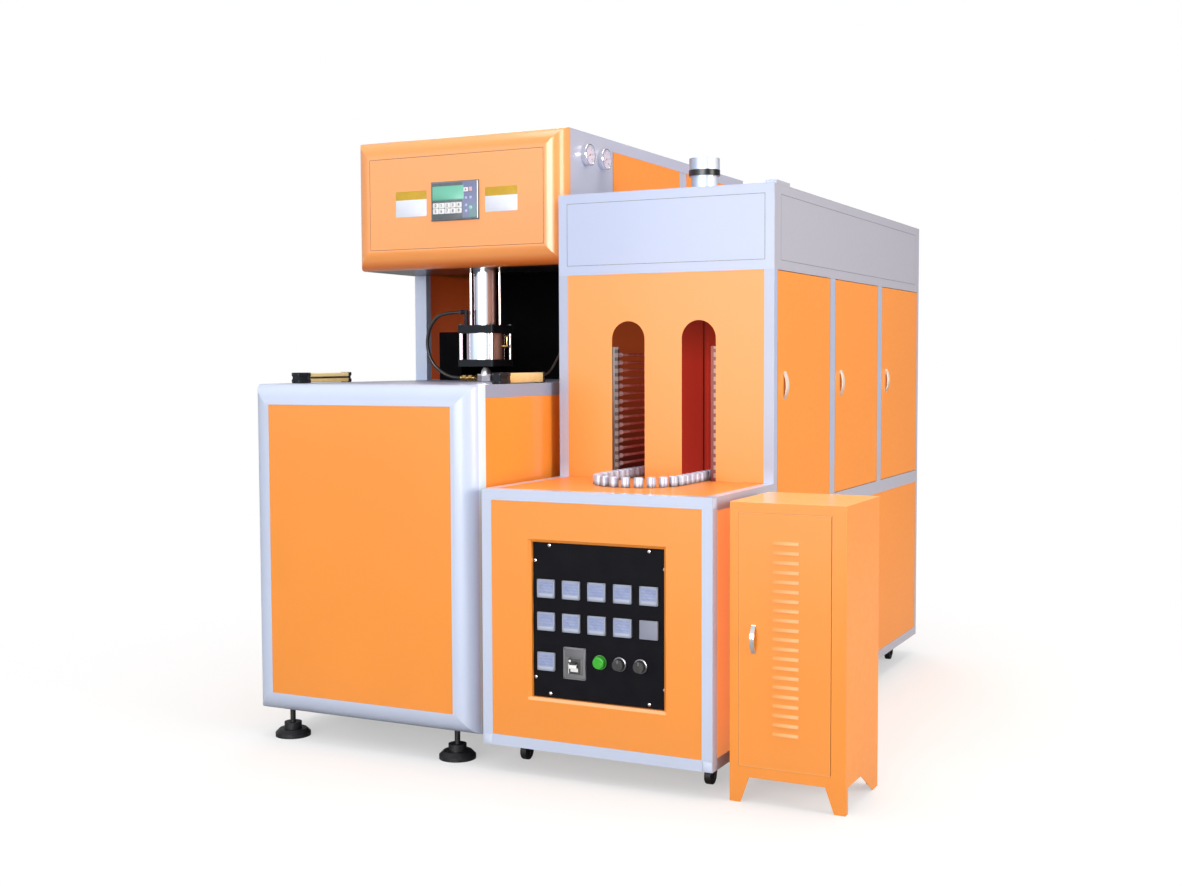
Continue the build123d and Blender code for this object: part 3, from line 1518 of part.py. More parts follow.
# Electrical cabinet on four tapered legs
locker_front = front + locker_setback
locker_back = locker_front + locker_length
locker_x = (locker_left, locker_right)
locker_y = (locker_front, locker_back)
locker_inner_x = (locker_left + locker_sheet, locker_right - locker_sheet)
locker_inner_y = (locker_front + locker_sheet, locker_back - locker_sheet)
locker_door_x = (locker_left + locker_door_left, locker_right - locker_door_right)
locker_door_z = (locker_door_bottom, locker_height - locker_door_top)
locker_pivot = (locker_door_x[1] - pivot_edge, locker_front + pivot_inset)
with BuildPart() as locker_body:
    block(locker_x, locker_y, (0, locker_height))
    above_floor = (locker_floor, locker_height - locker_sheet)
    block(locker_inner_x, locker_inner_y, above_floor, mode=Mode.SUBTRACT)
    under_floor = (-1, locker_floor - locker_sheet)
    block(locker_inner_x, locker_inner_y, under_floor, mode=Mode.SUBTRACT)
    door_hole_y = (locker_front - 1, locker_front + 2 * locker_sheet)
    block(locker_door_x, door_hole_y, locker_door_z, mode=Mode.SUBTRACT)
    pivot_plate_x = (locker_pivot[0] - locker_pivot_bracket / 2, locker_door_x[1])
    pivot_plate_y = (locker_front, locker_front + locker_pivot_bracket)
    for z in (locker_door_z[0] - locker_pivot_plate, locker_door_z[1]):
        block(pivot_plate_x, pivot_plate_y, (z, z + locker_pivot_plate))
        hole_start = (*locker_pivot, z - 1)
        rod(pivot_radius + pivot_fit, hole_start, (0, 0, 1), 2 * locker_pivot_plate, Mode.SUBTRACT)
    with BuildSketch(front_plane(0, locker_back + 1, 0)):
        with BuildLine():
            Polyline(
                (locker_left + leg_foot_width, -1),
                (locker_left + leg_top_width, skirt_height),
                (locker_right - leg_top_width, skirt_height),
                (locker_right - leg_foot_width, -1),
                close=True,
            )
        make_face()
    extrude(amount=locker_length + 2, mode=Mode.SUBTRACT)
    with BuildSketch(side_plane(locker_right + 1, 0, 0)):
        with BuildLine():
            Polyline(
                (locker_front + side_leg_front, -1),
                (locker_front + side_leg_front, skirt_height),
                (locker_back - side_leg_top, skirt_height),
                (locker_back - side_leg_foot, -1),
                close=True,
            )
        make_face()
    extrude(amount=-locker_width - 2, mode=Mode.SUBTRACT)
finish_part(locker_body.part, "locker_body")

# Louvred door of the cabinet
leaf_x = (locker_door_x[0] + door_clearance, locker_door_x[1] - door_clearance)
leaf_z = (locker_door_z[0] + door_clearance, locker_door_z[1] - door_clearance)
louvre_x = (leaf_x[0] + louvre_left, leaf_x[0] + louvre_left + louvre_width)
with BuildPart() as locker_door:
    block(leaf_x, (locker_front, locker_front + door_return), leaf_z)
    block(
        (leaf_x[0] + locker_sheet, leaf_x[1] - locker_sheet),
        (locker_front + locker_sheet, locker_front + 2 * door_return),
        (leaf_z[0] + locker_sheet, leaf_z[1] - locker_sheet),
        mode=Mode.SUBTRACT,
    )
    for i in range(louvre_count):
        z = louvre_first + i * louvre_pitch
        with BuildSketch(side_plane(louvre_x[0], locker_front, z)):
            with BuildLine():
                louvre_lip = (-louvre_rise, louvre_slot)
                Polyline((0, 0), (-louvre_rise, 0), louvre_lip, (0, louvre_height), close=True)
            make_face()
        extrude(amount=louvre_width)
        slot_x = (louvre_x[0] + locker_sheet, louvre_x[1] - locker_sheet)
        slot_y = (locker_front - louvre_rise + locker_sheet, locker_front + 2 * locker_sheet)
        block(slot_x, slot_y, (z - 1, z + louvre_slot), mode=Mode.SUBTRACT)
    for z, along in ((leaf_z[0] + locker_sheet, -1), (leaf_z[1] - locker_sheet, 1)):
        pin_length = locker_sheet + door_clearance + pivot_engagement
        rod(pivot_radius, (*locker_pivot, z), (0, 0, along), pin_length)
finish_part(locker_door.part, "locker_door")

# Pull of the cabinet's door
pull_z = locker_handle_bottom + locker_handle_length / 2
pull_place = (leaf_x[0] + locker_handle_inset, locker_front - seat_gap, pull_z)
pull_plane = Plane(origin=pull_place, x_dir=(0, -1, 0), z_dir=(-1, 0, 0))
locker_pull = pull_handle(pull_plane, locker_handle_length, locker_handle_rise, locker_handle_width)
finish_part(locker_pull, "locker_handle")

# Switchgear on the back of the cabinet
gear_y = locker_back - locker_sheet - seat_gap - gear_plate
with BuildPart() as locker_gear:
    gear_plate_x = (locker_left + gear_plate_margin, locker_right - gear_plate_margin)
    gear_plate_z = (locker_floor + gear_plate_margin, locker_height - gear_plate_margin)
    block(gear_plate_x, (gear_y, gear_y + gear_plate), gear_plate_z)
    for column in range(gear_columns):
        for row in range(gear_rows):
            offset = (column - (gear_columns - 1) / 2) * gear_block_pitch
            x = (locker_left + locker_right) / 2 + offset
            z = locker_height / 2 + (row - (gear_rows - 1) / 2) * gear_row_pitch
            half = gear_block / 2
            block((x - half, x + half), (gear_y - gear_block_depth, gear_y), (z - half, z + half))
finish_part(locker_gear.part, "locker_gear")
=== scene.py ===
"""Dresses the stretch blow moulding set: camera, hoses, finishes, fittings, dials and stage.

Metres. +X is the machine's right, +Y its back, +Z up, and the floor is at 0.
"""
from math import cos, pi, radians, sin

import bmesh
import bpy
from bpy.props import FloatProperty, FloatVectorProperty, PointerProperty
from mathutils import Matrix, Vector


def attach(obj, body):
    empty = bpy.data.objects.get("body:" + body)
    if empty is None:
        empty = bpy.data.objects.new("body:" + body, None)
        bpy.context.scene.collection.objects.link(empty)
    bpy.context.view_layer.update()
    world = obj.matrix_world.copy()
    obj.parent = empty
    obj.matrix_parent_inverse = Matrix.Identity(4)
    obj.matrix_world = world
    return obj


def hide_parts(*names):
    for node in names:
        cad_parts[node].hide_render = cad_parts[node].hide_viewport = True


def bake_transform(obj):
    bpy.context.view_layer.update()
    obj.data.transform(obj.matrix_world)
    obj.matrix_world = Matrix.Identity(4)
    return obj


bl_info = {
    "name": "Stretch blow moulding set",
    "version": (1, 0, 0),
    "blender": (4, 5, 0),
    "location": "View3D > Sidebar > Blow moulding",
    "description": "Dresses the blow station, the preform heater and their cabinet",
    "category": "Object",
}

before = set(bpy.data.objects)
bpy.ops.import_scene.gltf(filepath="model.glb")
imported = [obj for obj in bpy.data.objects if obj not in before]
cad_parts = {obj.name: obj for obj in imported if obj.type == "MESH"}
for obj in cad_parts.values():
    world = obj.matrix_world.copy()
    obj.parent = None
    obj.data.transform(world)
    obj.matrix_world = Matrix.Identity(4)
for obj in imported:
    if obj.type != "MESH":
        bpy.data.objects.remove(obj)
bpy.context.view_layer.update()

MM = 0.001
WHITE = (1.0, 1.0, 1.0)
BLACK = (0.0, 0.0, 0.0)

# Where the control points of the two air hoses lie, as in the part's source
BLOW_HOSE = (
    (-0.7388, -0.440, 1.592),
    (-0.8055, -0.440, 1.592),
    (-0.8695, -0.434, 1.574),
    (-0.9125, -0.426, 1.515),
    (-0.9225, -0.418, 1.447),
    (-0.9045, -0.410, 1.386),
    (-0.8585, -0.403, 1.345),
    (-0.8075, -0.400, 1.324),
    (-0.7628, -0.400, 1.324),
)
FEED_HOSE = (
    (-0.2095, -0.7424, 1.338),
    (-0.2095, -0.683, 1.338),
    (-0.2095, -0.610, 1.400),
    (-0.2095, -0.540, 1.470),
    (-0.2095, -0.450, 1.520),
    (-0.2095, -0.340, 1.550),
    (-0.2095, -0.260, 1.555),
    (-0.2095, -0.2003, 1.555),
)

# Places on the control panel and the head, in millimetres
METER_COLUMNS = (98.5, 192.5, 286.5, 380.5, 474.5)
METER_ROWS = (634.0, 523.5)
LONE_METER = (98.5, 388.5)
METER_FACE_Y = -1283.0
PANEL_SCREWS = (
    (109.5, 779), (473.5, 778), (55.5, 726), (528.5, 723),
    (56.5, 332), (528.5, 332), (111.5, 280), (473.5, 279),
)
PLATE_FACE_Y = -1276.7
KNOBS = (("left_knob", 368.5), ("right_knob", 443.5))
KNOB_Z = 402
HEAD_FACE_Y = -634.0
DISPLAY_FACE_Y = -643.3
GAUGES_Y = (-434.0, -288.0)
GAUGE_Z = 2189.0
GAUGE_FACE_X = -154.2
LOCK_XS = (-1091.5, -209.5)
LOCK_Z = 1331.5
BREAKER_X, BREAKER_Z = 204.0, 390.0
BREAKER_FACE_Y = -1282.0
CABINET_SEAM_Y = -1266.5
PLUG_WIDTH = 31.6

# Upright axes of the sealing head and the exhaust pipe, and the camera's right, in metres
HEAD_AXIS = (-0.6505, -0.400)
DUCT_AXIS = (0.2825, -0.335)
CAMERA_RIGHT = (0.894, 0.447)

# The camera that was solved from the picture's straight edges: metres, radians, millimetres
CAMERA_PLACE = (2.3775, -5.4978, 1.390)
CAMERA_TURN = 0.4638
CAMERA_PITCH = -0.0564
CAMERA_ROLL = -0.004
CAMERA_LENS = 44.055

# Faces that meet at more than this are shaded with a hard edge
SHARP_ANGLE = radians(32.0)


class Reading:
    """A socket of a finish. Sums written with it become Math nodes."""

    def __init__(self, nodes, socket):
        self.nodes = nodes
        self.socket = socket

    def __add__(self, other):
        return self.nodes.sum("ADD", self, other)

    __radd__ = __add__

    def __sub__(self, other):
        return self.nodes.sum("SUBTRACT", self, other)

    def __rsub__(self, other):
        return self.nodes.sum("SUBTRACT", other, self)

    def __mul__(self, other):
        return self.nodes.sum("MULTIPLY", self, other)

    __rmul__ = __mul__

    def __gt__(self, other):
        return self.nodes.sum("GREATER_THAN", self, other)

    def __lt__(self, other):
        return self.nodes.sum("LESS_THAN", self, other)

    def clamped(self):
        """The reading kept between 0 and 1."""
        return self.nodes.sum("ADD", self, 0.0, use_clamp=True)


class Nodes:
    """The node tree of a material or of the world."""

    def __init__(self, owner):
        owner.use_nodes = True
        self.tree = owner.node_tree

    def node(self, kind, settings=None, sockets=None):
        """Adds a node, sets it up, then fills its sockets with values or readings."""
        node = self.tree.nodes.new(kind)
        for name, value in (settings or {}).items():
            setattr(node, name, value)
        for name, value in (sockets or {}).items():
            self.fill(node.inputs[name], value)
        return node

    def fill(self, socket, value):
        """Links a reading to a socket, or sets the socket's own value."""
        if isinstance(value, Reading):
            self.tree.links.new(value.socket, socket)
        elif isinstance(value, tuple) and len(value) == 3 and socket.type == "RGBA":
            socket.default_value = (*value, 1.0)
        else:
            socket.default_value = value

    def read(self, kind, output, settings=None, sockets=None):
        """One output of a new node, as a reading."""
        return Reading(self, self.node(kind, settings, sockets).outputs[output])

    def sum(self, operation, first, second, **settings):
        """A Math node."""
        settings = {"operation": operation, **settings}
        return self.read("ShaderNodeMath", 0, settings, {0: first, 1: second})

    def ramp(self, reading, start, end, low, high):
        """A reading that goes from low to high between a start and an end."""
        sockets = {"Value": reading, 1: start, 2: end, 3: low, 4: high}
        return self.read("ShaderNodeMapRange", 0, {"clamp": True}, sockets)

    def tint(self, factor, colour, other):
        """A colour that goes from one to the other as the factor goes from 0 to 1."""
        settings = {"data_type": "RGBA"}
        return self.read("ShaderNodeMix", 2, settings, {0: factor, 6: colour, 7: other})

    def axes(self, place):
        """The x, y and z of a place."""
        parts = self.node("ShaderNodeSeparateXYZ", None, {0: place})
        return [Reading(self, output) for output in parts.outputs]


class Finish(Nodes):
    """A procedural material for one kind of surface."""

    def __init__(self, name, roughness=0.5, metallic=0.0, coat=0.0, coat_roughness=0.1):
        self.material = bpy.data.materials.new(name)
        super().__init__(self.material)
        self.shader = self.tree.nodes["Principled BSDF"]
        self.wear("Roughness", roughness)
        self.wear("Metallic", metallic)
        self.wear("Coat Weight", coat)
        self.wear("Coat Roughness", coat_roughness)
        self.place = self.read("ShaderNodeTexCoord", "Object")

    def wear(self, name, value):
        """Fills one of the shader's sockets."""
        self.fill(self.shader.inputs[name], value)
        return self

    def axis(self, number):
        """The place's x, y or z, by its number."""
        return self.axes(self.place)[number]

    def across(self, upright):
        """How far the place lies to the camera's right of an upright axis, in metres."""
        right, back, _ = self.axes(self.place)
        return (right - upright[0]) * CAMERA_RIGHT[0] + (back - upright[1]) * CAMERA_RIGHT[1]

    def graded(self, reading, start, end, colour, other):
        """A colour that goes to the other as a reading goes from a start to an end."""
        return self.tint(self.ramp(reading, start, end, 0.0, 1.0), colour, other)

    def cloudy(self, colour, other, scale, detail, stretch=None):
        """A colour that drifts to the other in clouds."""
        cloud = self.spread(self.noise(scale, detail, stretch), 0.0, 1.0)
        return self.tint(cloud, colour, other)

    def noise(self, scale, detail=2.0, stretch=None):
        """A cloudy pattern of a size in cycles per metre, drawn out along the axes if asked."""
        place = self.place
        if stretch:
            sockets = {"Vector": place, "Scale": stretch}
            place = self.read("ShaderNodeMapping", 0, None, sockets)
        sockets = {"Vector": place, "Scale": scale, "Detail": detail}
        return self.read("ShaderNodeTexNoise", "Fac", None, sockets)

    def spread(self, reading, low, high, start=0.3, end=0.7):
        """A cloudy pattern stretched between two values."""
        return self.ramp(reading, start, end, low, high)

    def bump(self, height, depth, strength=1.0):
        """Raises the surface where the height is high, by at most the depth in metres."""
        sockets = {"Height": height, "Distance": depth, "Strength": strength}
        return self.wear("Normal", self.read("ShaderNodeBump", 0, None, sockets))


def enamel(name, colour, painted_top_light, roughness=0.34, coat=0.35, sides=None, painted_light_zone=None, painted_light_colour=None):
    """Baked enamel on sheet steel: faint mottling, fine orange peel, dust low down, and painted light.

    The lift is how far the colour is painted paler towards the top, as painted light.
    Sides is a painted shade: the colour of the rails and covers that look to the right, where it differs.
    Zone marks a part of the surface, from the finish, that has a colour of its own: painted light on some
    finishes, painted shade on others.
    """
    paint = Finish(name, roughness, 0.0, coat, 0.12)
    right, _, height = paint.axes(paint.place)
    pale = tuple(part + (1.0 - part) * painted_top_light for part in colour)
    deep = tuple(part * 0.955 for part in colour)
    shade = paint.cloudy(colour, deep, 2.2, 4.0)
    # Painted light: the colour grows paler from 0.5 m up to 2.3 m
    shade = paint.graded(height, 0.5, 2.3, shade, pale)
    # Painted shade: faces that look to the right take the sides colour
    if sides:
        heater_side = right > 0.7015
        station_side = (right > -0.1785) * (right < -0.17)
        shade = paint.tint((heater_side + station_side).clamped(), shade, sides)
    # Painted light and shade: the zone takes its own lighter or darker colour
    if painted_light_zone:
        shade = paint.tint(painted_light_zone(paint), shade, painted_light_colour)
    dust = paint.spread(height, 0.10, 0.0, 0.0, 0.3)
    shade = paint.tint(dust * paint.noise(9.0, 5.0), shade, (0.42, 0.36, 0.30))
    paint.wear("Base Color", shade)
    grain = paint.noise(60.0, 3.0)
    paint.wear("Roughness", paint.spread(grain, roughness - 0.04, roughness + 0.05))
    return paint.bump(paint.noise(420.0, 1.0), 0.00006, 0.35)


def satin(name, colour, roughness=0.5, grain=520.0, depth=0.00012, fade=0.25, gloss=0.5):
    """Moulded plastic or satin paint with a fine leathery grain."""
    skin = Finish(name, roughness, 0.0, 0.0)
    skin.wear("Specular IOR Level", gloss)
    cloud = skin.spread(skin.noise(14.0, 4.0), 0.0, fade)
    pale = tuple(part + (1.0 - part) * 0.16 for part in colour)
    skin.wear("Base Color", skin.tint(cloud, colour, pale))
    skin.wear("Roughness", skin.spread(skin.noise(90.0, 2.0), roughness - 0.06, roughness + 0.08))
    return skin.bump(skin.noise(grain, 2.0), depth, 0.5)


def bright_metal(name, colour, roughness=0.08, brushed=(1.0, 1.0, 1.0), streaks=0.06):
    """Polished or brushed metal, with streaks along the axis that the stretch leaves long."""
    metal = Finish(name, roughness, 1.0)
    streak = metal.noise(180.0, 3.0, brushed)
    dull = tuple(part * 0.86 for part in colour)
    metal.wear("Base Color", metal.cloudy(colour, dull, 6.0, 3.0))
    metal.wear("Roughness", metal.spread(streak, max(roughness - 0.03, 0.02), roughness + streaks))
    return metal.bump(streak, 0.00002, 0.25)


def painted_reflection_chrome(name, radius):
    """Chrome of the sealing head with a painted reflection of the orange bay on its right side, in bands
    across it.
    """
    chrome = Finish(name, 0.07, 1.0)
    shift = chrome.across(HEAD_AXIS)

    def step(tone, start, end, other):
        """The other tone from a place on, in shares of the radius."""
        return chrome.graded(shift, start * radius, end * radius, tone, other)

    # Painted reflection: mauve, pale blue, white, brown and dark bands across the part as the camera sees it
    tone = step((0.50, 0.42, 0.50), -0.86, -0.70, (0.62, 0.70, 0.86))
    tone = step(tone, -0.42, -0.12, (0.93, 0.95, 0.98))
    tone = step(tone, 0.20, 0.30, (0.80, 0.46, 0.38))
    tone = step(tone, 0.62, 0.92, (0.12, 0.05, 0.05))
    # The rods and the block's front-right corner post keep a bright silver, a painted highlight at the corner
    right, back, _ = chrome.axes(chrome.place)
    corner_post = (right > -0.5860) * (back < -0.4650)
    rods = ((shift > 1.1 * radius) + (shift < -1.1 * radius) + corner_post).clamped()
    chrome.wear("Base Color", chrome.tint(rods, tone, (0.88, 0.84, 0.82)))
    # The brown band is made less metallic, so that its painted reflection shows
    dim = chrome.ramp(shift, 0.20 * radius, 0.32 * radius, 1.0, 0.12)
    chrome.wear("Metallic", (dim + rods).clamped())
    chrome.wear("Roughness", chrome.spread(chrome.noise(160.0, 3.0, (1.0, 1.0, 0.05)), 0.05, 0.10))
    return chrome.bump(chrome.noise(90.0, 2.0, (1.0, 1.0, 0.1)), 0.00001, 0.2)


def flat_print(name, colour, roughness=0.45):
    """Ink or a printed film, with a trace of unevenness."""
    ink = Finish(name, roughness)
    pale = tuple(part + (1.0 - part) * 0.12 for part in colour)
    ink.wear("Base Color", ink.cloudy(colour, pale, 120.0, 3.0))
    return ink.bump(ink.noise(900.0, 1.0), 0.00002, 0.3)


def between(finish, axis, low, high):
    """1 where the place lies between two bounds along an axis, 0 elsewhere."""
    reading = finish.axis(axis)
    return (reading > low) * (reading < high)


def face_at(right, up, out, place):
    """The matrix that lays a local shape on a face: x to its right, y up, z out of it."""
    turn = Matrix((right, up, out)).transposed().to_4x4()
    return Matrix.Translation(Vector(place)) @ turn


def front_face(x, z, y):
    """A face that looks to the front, at a place in millimetres."""
    return face_at((1, 0, 0), (0, 0, 1), (0, -1, 0), (x * MM, y * MM, z * MM))


def back_face(x, z, y):
    """A face that looks to the back, at a place in millimetres."""
    return face_at((-1, 0, 0), (0, 0, 1), (0, 1, 0), (x * MM, y * MM, z * MM))


def right_face(y, z, x):
    """A face that looks to the right, at a place in millimetres."""
    return face_at((0, 1, 0), (0, 0, 1), (1, 0, 0), (x * MM, y * MM, z * MM))


def left_face(y, z, x):
    """A face that looks to the left, at a place in millimetres."""
    return face_at((0, -1, 0), (0, 0, 1), (-1, 0, 0), (x * MM, y * MM, z * MM))


def top_face(x, y, z):
    """A face that looks up, at a place in millimetres."""
    return face_at((1, 0, 0), (0, 1, 0), (0, 0, 1), (x * MM, y * MM, z * MM))


def bevel(part, edges, offset, segments):
    """Rounds edges of a part."""
    bmesh.ops.bevel(
        part, geom=edges, offset=offset, offset_type="OFFSET", segments=segments,
        profile=0.5, affect="EDGES", material=-1,
    )


def plate(width, height, depth, corner=0.0, edge=0.0, segments=5):
    """A plate in x and y with its back at 0, rounded corners and an eased front edge. In mm."""
    part = bmesh.new()
    bmesh.ops.create_cube(part, size=1.0)
    bmesh.ops.scale(part, vec=(width * MM, height * MM, depth * MM), verts=part.verts)
    bmesh.ops.translate(part, vec=(0, 0, depth * MM / 2), verts=part.verts)
    if corner:
        upright = [
            side for side in part.edges
            if abs(side.verts[0].co.z - side.verts[1].co.z) > depth * MM / 2
        ]
        bevel(part, upright, corner * MM, segments)
    if edge:
        front = depth * MM * 0.999
        rim = [side for side in part.edges if all(end.co.z > front for end in side.verts)]
        bevel(part, rim, edge * MM, 2)
    return part


def sink(part, border, depth, slope=0.3):
    """Sinks the middle of a plate's front below its border. In mm."""
    part.faces.ensure_lookup_table()
    part.normal_update()
    middle = max((f for f in part.faces if f.normal.z > 0.9), key=lambda f: f.calc_area())
    bmesh.ops.inset_region(part, faces=[middle], thickness=border * MM, depth=0)
    bmesh.ops.inset_region(part, faces=[middle], thickness=slope * MM, depth=-depth * MM)
    return part


def turned(profile, steps=32):
    """A part turned about z from (radius, height) pairs in mm."""
    part = bmesh.new()
    points = [part.verts.new((radius * MM, 0, height * MM)) for radius, height in profile]
    runs = [part.edges.new(pair) for pair in zip(points, points[1:])]
    bmesh.ops.spin(
        part, geom=points + runs, cent=(0, 0, 0), axis=(0, 0, 1), dvec=(0, 0, 0),
        angle=2 * pi, steps=steps, use_merge=True, use_duplicate=False,
    )
    bmesh.ops.remove_doubles(part, verts=part.verts, dist=1e-7)
    bmesh.ops.recalc_face_normals(part, faces=part.faces)
    return part


def prism(sides, across, depth, edge=0.0):
    """A prism such as a hexagon nut, by its width across flats. In mm."""
    part = bmesh.new()
    radius = across * MM / 2 / cos(pi / sides)
    bmesh.ops.create_cone(
        part, cap_ends=True, segments=sides, radius1=radius, radius2=radius, depth=depth * MM
    )
    bmesh.ops.translate(part, vec=(0, 0, depth * MM / 2), verts=part.verts)
    if edge:
        front = depth * MM * 0.99
        rim = [side for side in part.edges if all(end.co.z > front for end in side.verts)]
        bevel(part, rim, edge * MM, 2)
    return part


def character(text, size, depth):
    """A printed character standing on its face, centred. In mm."""
    curve = bpy.data.curves.new("character", "FONT")
    curve.body = text
    curve.size = size * MM
    curve.extrude = depth * MM / 2
    curve.offset = size * MM * 0.018
    curve.align_x = "CENTER"
    curve.align_y = "CENTER"
    curve.resolution_u = 3
    holder = bpy.data.objects.new("character", curve)
    mesh = bpy.data.meshes.new_from_object(holder)
    part = bmesh.new()
    part.from_mesh(mesh)
    bmesh.ops.remove_doubles(part, verts=part.verts, dist=1e-7)
    bmesh.ops.translate(part, vec=(0, 0, depth * MM / 2), verts=part.verts)
    bpy.data.objects.remove(holder)
    bpy.data.curves.remove(curve)
    bpy.data.meshes.remove(mesh)
    return part


def join(shape, part, place):
    """Adds a part to a shape at a place and frees the part."""
    bmesh.ops.transform(part, matrix=place, verts=part.verts)
    mesh = bpy.data.meshes.new("part")
    part.to_mesh(mesh)
    part.free()
    shape.from_mesh(mesh)
    bpy.data.meshes.remove(mesh)


def settle(shape, name, finish, body):
    """Makes a shape a piece of the scene that rides on a body."""
    bmesh.ops.recalc_face_normals(shape, faces=shape.faces)
    mesh = bpy.data.meshes.new(name)
    shape.to_mesh(mesh)
    shape.free()
    mesh.materials.append(finish.material)
    mesh.shade_smooth()
    mesh.set_sharp_from_angle(angle=SHARP_ANGLE)
    piece = bpy.data.objects.new(name, mesh)
    bpy.context.scene.collection.objects.link(piece)
    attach(piece, body)


def several(parts, name, finish, body="machine"):
    """One piece of many parts, given as (part, place) pairs."""
    shape = bmesh.new()
    for part, place in parts:
        join(shape, part, place)
    settle(shape, name, finish, body)


def single(part, place, name, finish, body="machine"):
    """One piece of one part."""
    several([(part, place)], name, finish, body)


def studio_lamp(name, place, aim, width, height, power, colour=WHITE):
    """A rectangular softbox that looks at a point."""
    lamp = bpy.data.lights.new(name, "AREA")
    lamp.shape = "RECTANGLE"
    lamp.size = width
    lamp.size_y = height
    lamp.energy = power
    lamp.color = colour
    holder = bpy.data.objects.new(name, lamp)
    bpy.context.scene.collection.objects.link(holder)
    holder.location = place
    away = Vector(place) - Vector(aim)
    holder.rotation_euler = away.to_track_quat("Z", "Y").to_euler()


def hose_curve(name, points):
    """A hose's route: one open spline with the route's points as its control points."""
    curve = bpy.data.curves.new(name, "CURVE")
    curve.dimensions = "3D"
    curve.resolution_u = 12
    spline = curve.splines.new("NURBS")
    spline.points.add(len(points) - 1)
    for point, place in zip(spline.points, points):
        point.co = (*place, 1.0)
    spline.order_u = 3
    spline.use_endpoint_u = True
    return curve


class SetColours(bpy.types.PropertyGroup):
    """Colours of the set's paints and plastics"""

    orange: FloatVectorProperty(
        name="Orange enamel", description="Paint of the panels", subtype="COLOR",
        default=(0.95, 0.312, 0.034), min=0, max=1,
    )
    white: FloatVectorProperty(
        name="White enamel", description="Paint of the frames and covers", subtype="COLOR",
        default=(0.585, 0.665, 0.86), min=0, max=1,
    )
    panel_black: FloatVectorProperty(
        name="Panel black", description="Control panel and black plates", subtype="COLOR",
        default=(0.007, 0.007, 0.010), min=0, max=1,
    )
    screen: FloatVectorProperty(
        name="Screen", description="Glass of the operator display", subtype="COLOR",
        default=(0.13, 0.45, 0.33), min=0, max=1,
    )
    button: FloatVectorProperty(
        name="Start button", description="Plastic of the start button", subtype="COLOR",
        default=(0.035, 0.44, 0.02), min=0, max=1,
    )


class SetSizes(bpy.types.PropertyGroup):
    """Sizes of the small fittings"""

    digit: FloatProperty(
        name="Digit", description="Height of a key's digit in millimetres",
        default=16.0, min=4, max=18,
    )
    screw: FloatProperty(
        name="Panel screw", description="Radius of a panel screw in millimetres",
        default=5.5, min=2, max=8,
    )
    blow_hose: FloatProperty(
        name="Blow hose", description="Diameter of the blow hose",
        default=0.014, subtype="DISTANCE",
    )
    feed_hose: FloatProperty(
        name="Feed hose", description="Diameter of the feed hose",
        default=0.008, subtype="DISTANCE",
    )


class SetCamera(bpy.types.Operator):
    """Places the camera at the viewing angle of the product picture"""

    bl_idname = "blowset.camera"
    bl_label = "Camera"

    def execute(self, context):
        camera = bpy.data.cameras.new("product_camera")
        camera.sensor_width = 36.0
        camera.lens = CAMERA_LENS
        camera.clip_end = 200.0
        holder = bpy.data.objects.new("product_camera", camera)
        context.scene.collection.objects.link(holder)
        holder.matrix_world = (
            Matrix.Translation(CAMERA_PLACE)
            @ Matrix.Rotation(CAMERA_TURN, 4, "Z")
            @ Matrix.Rotation(pi / 2 + CAMERA_PITCH, 4, "X")
            @ Matrix.Rotation(CAMERA_ROLL, 4, "Z")
        )
        context.scene.camera = holder
        return {"FINISHED"}


class AirHoses(bpy.types.Operator):
    """Runs the blow hose from the sealing head and the feed hose from the right cylinder"""

    bl_idname = "blowset.air_hoses"
    bl_label = "Air hoses"

    def execute(self, context):
        sizes = context.scene.blow_sizes
        rubber = Finish("hose_rubber", 0.36)
        black, worn = (0.012, 0.012, 0.014), (0.035, 0.034, 0.034)
        rubber.wear("Base Color", rubber.cloudy(black, worn, 25.0, 4.0))
        rubber.wear("Roughness", rubber.spread(rubber.noise(140.0, 2.0), 0.30, 0.46))
        rubber.bump(rubber.noise(700.0, 2.0), 0.00008, 0.4)

        route = hose_curve("blow_hose_route", BLOW_HOSE)
        holder = bpy.data.objects.new("blow_hose_route", route)
        line = bpy.data.meshes.new_from_object(holder)
        route.bevel_depth = sizes.blow_hose / 2
        route.bevel_resolution = 5
        route.use_fill_caps = True
        mesh = bpy.data.meshes.new_from_object(holder)
        tube = bmesh.new()
        tube.from_mesh(mesh)
        bmesh.ops.remove_doubles(tube, verts=tube.verts, dist=1e-6)
        bmesh.ops.recalc_face_normals(tube, faces=tube.faces)
        tube.to_mesh(mesh)
        tube.free()
        mesh.materials.clear()
        mesh.materials.append(rubber.material)
        mesh.shade_smooth()
        mesh.set_sharp_from_angle(angle=radians(50))
        blow_hose = bpy.data.objects.new("blow_hose", mesh)
        context.scene.collection.objects.link(blow_hose)
        bpy.data.objects.remove(holder)
        bpy.data.curves.remove(route)
        bpy.data.meshes.remove(line)
        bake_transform(blow_hose)
        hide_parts("air_hoses")

        curve = hose_curve("feed_hose", FEED_HOSE)
        curve.bevel_depth = sizes.feed_hose / 2
        curve.bevel_resolution = 4
        curve.use_fill_caps = True
        curve.materials.append(rubber.material)
        feed_hose = bpy.data.objects.new("feed_hose", curve)
        context.scene.collection.objects.link(feed_hose)
        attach(feed_hose, "machine")
        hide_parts("air_hoses")
        return {"FINISHED"}


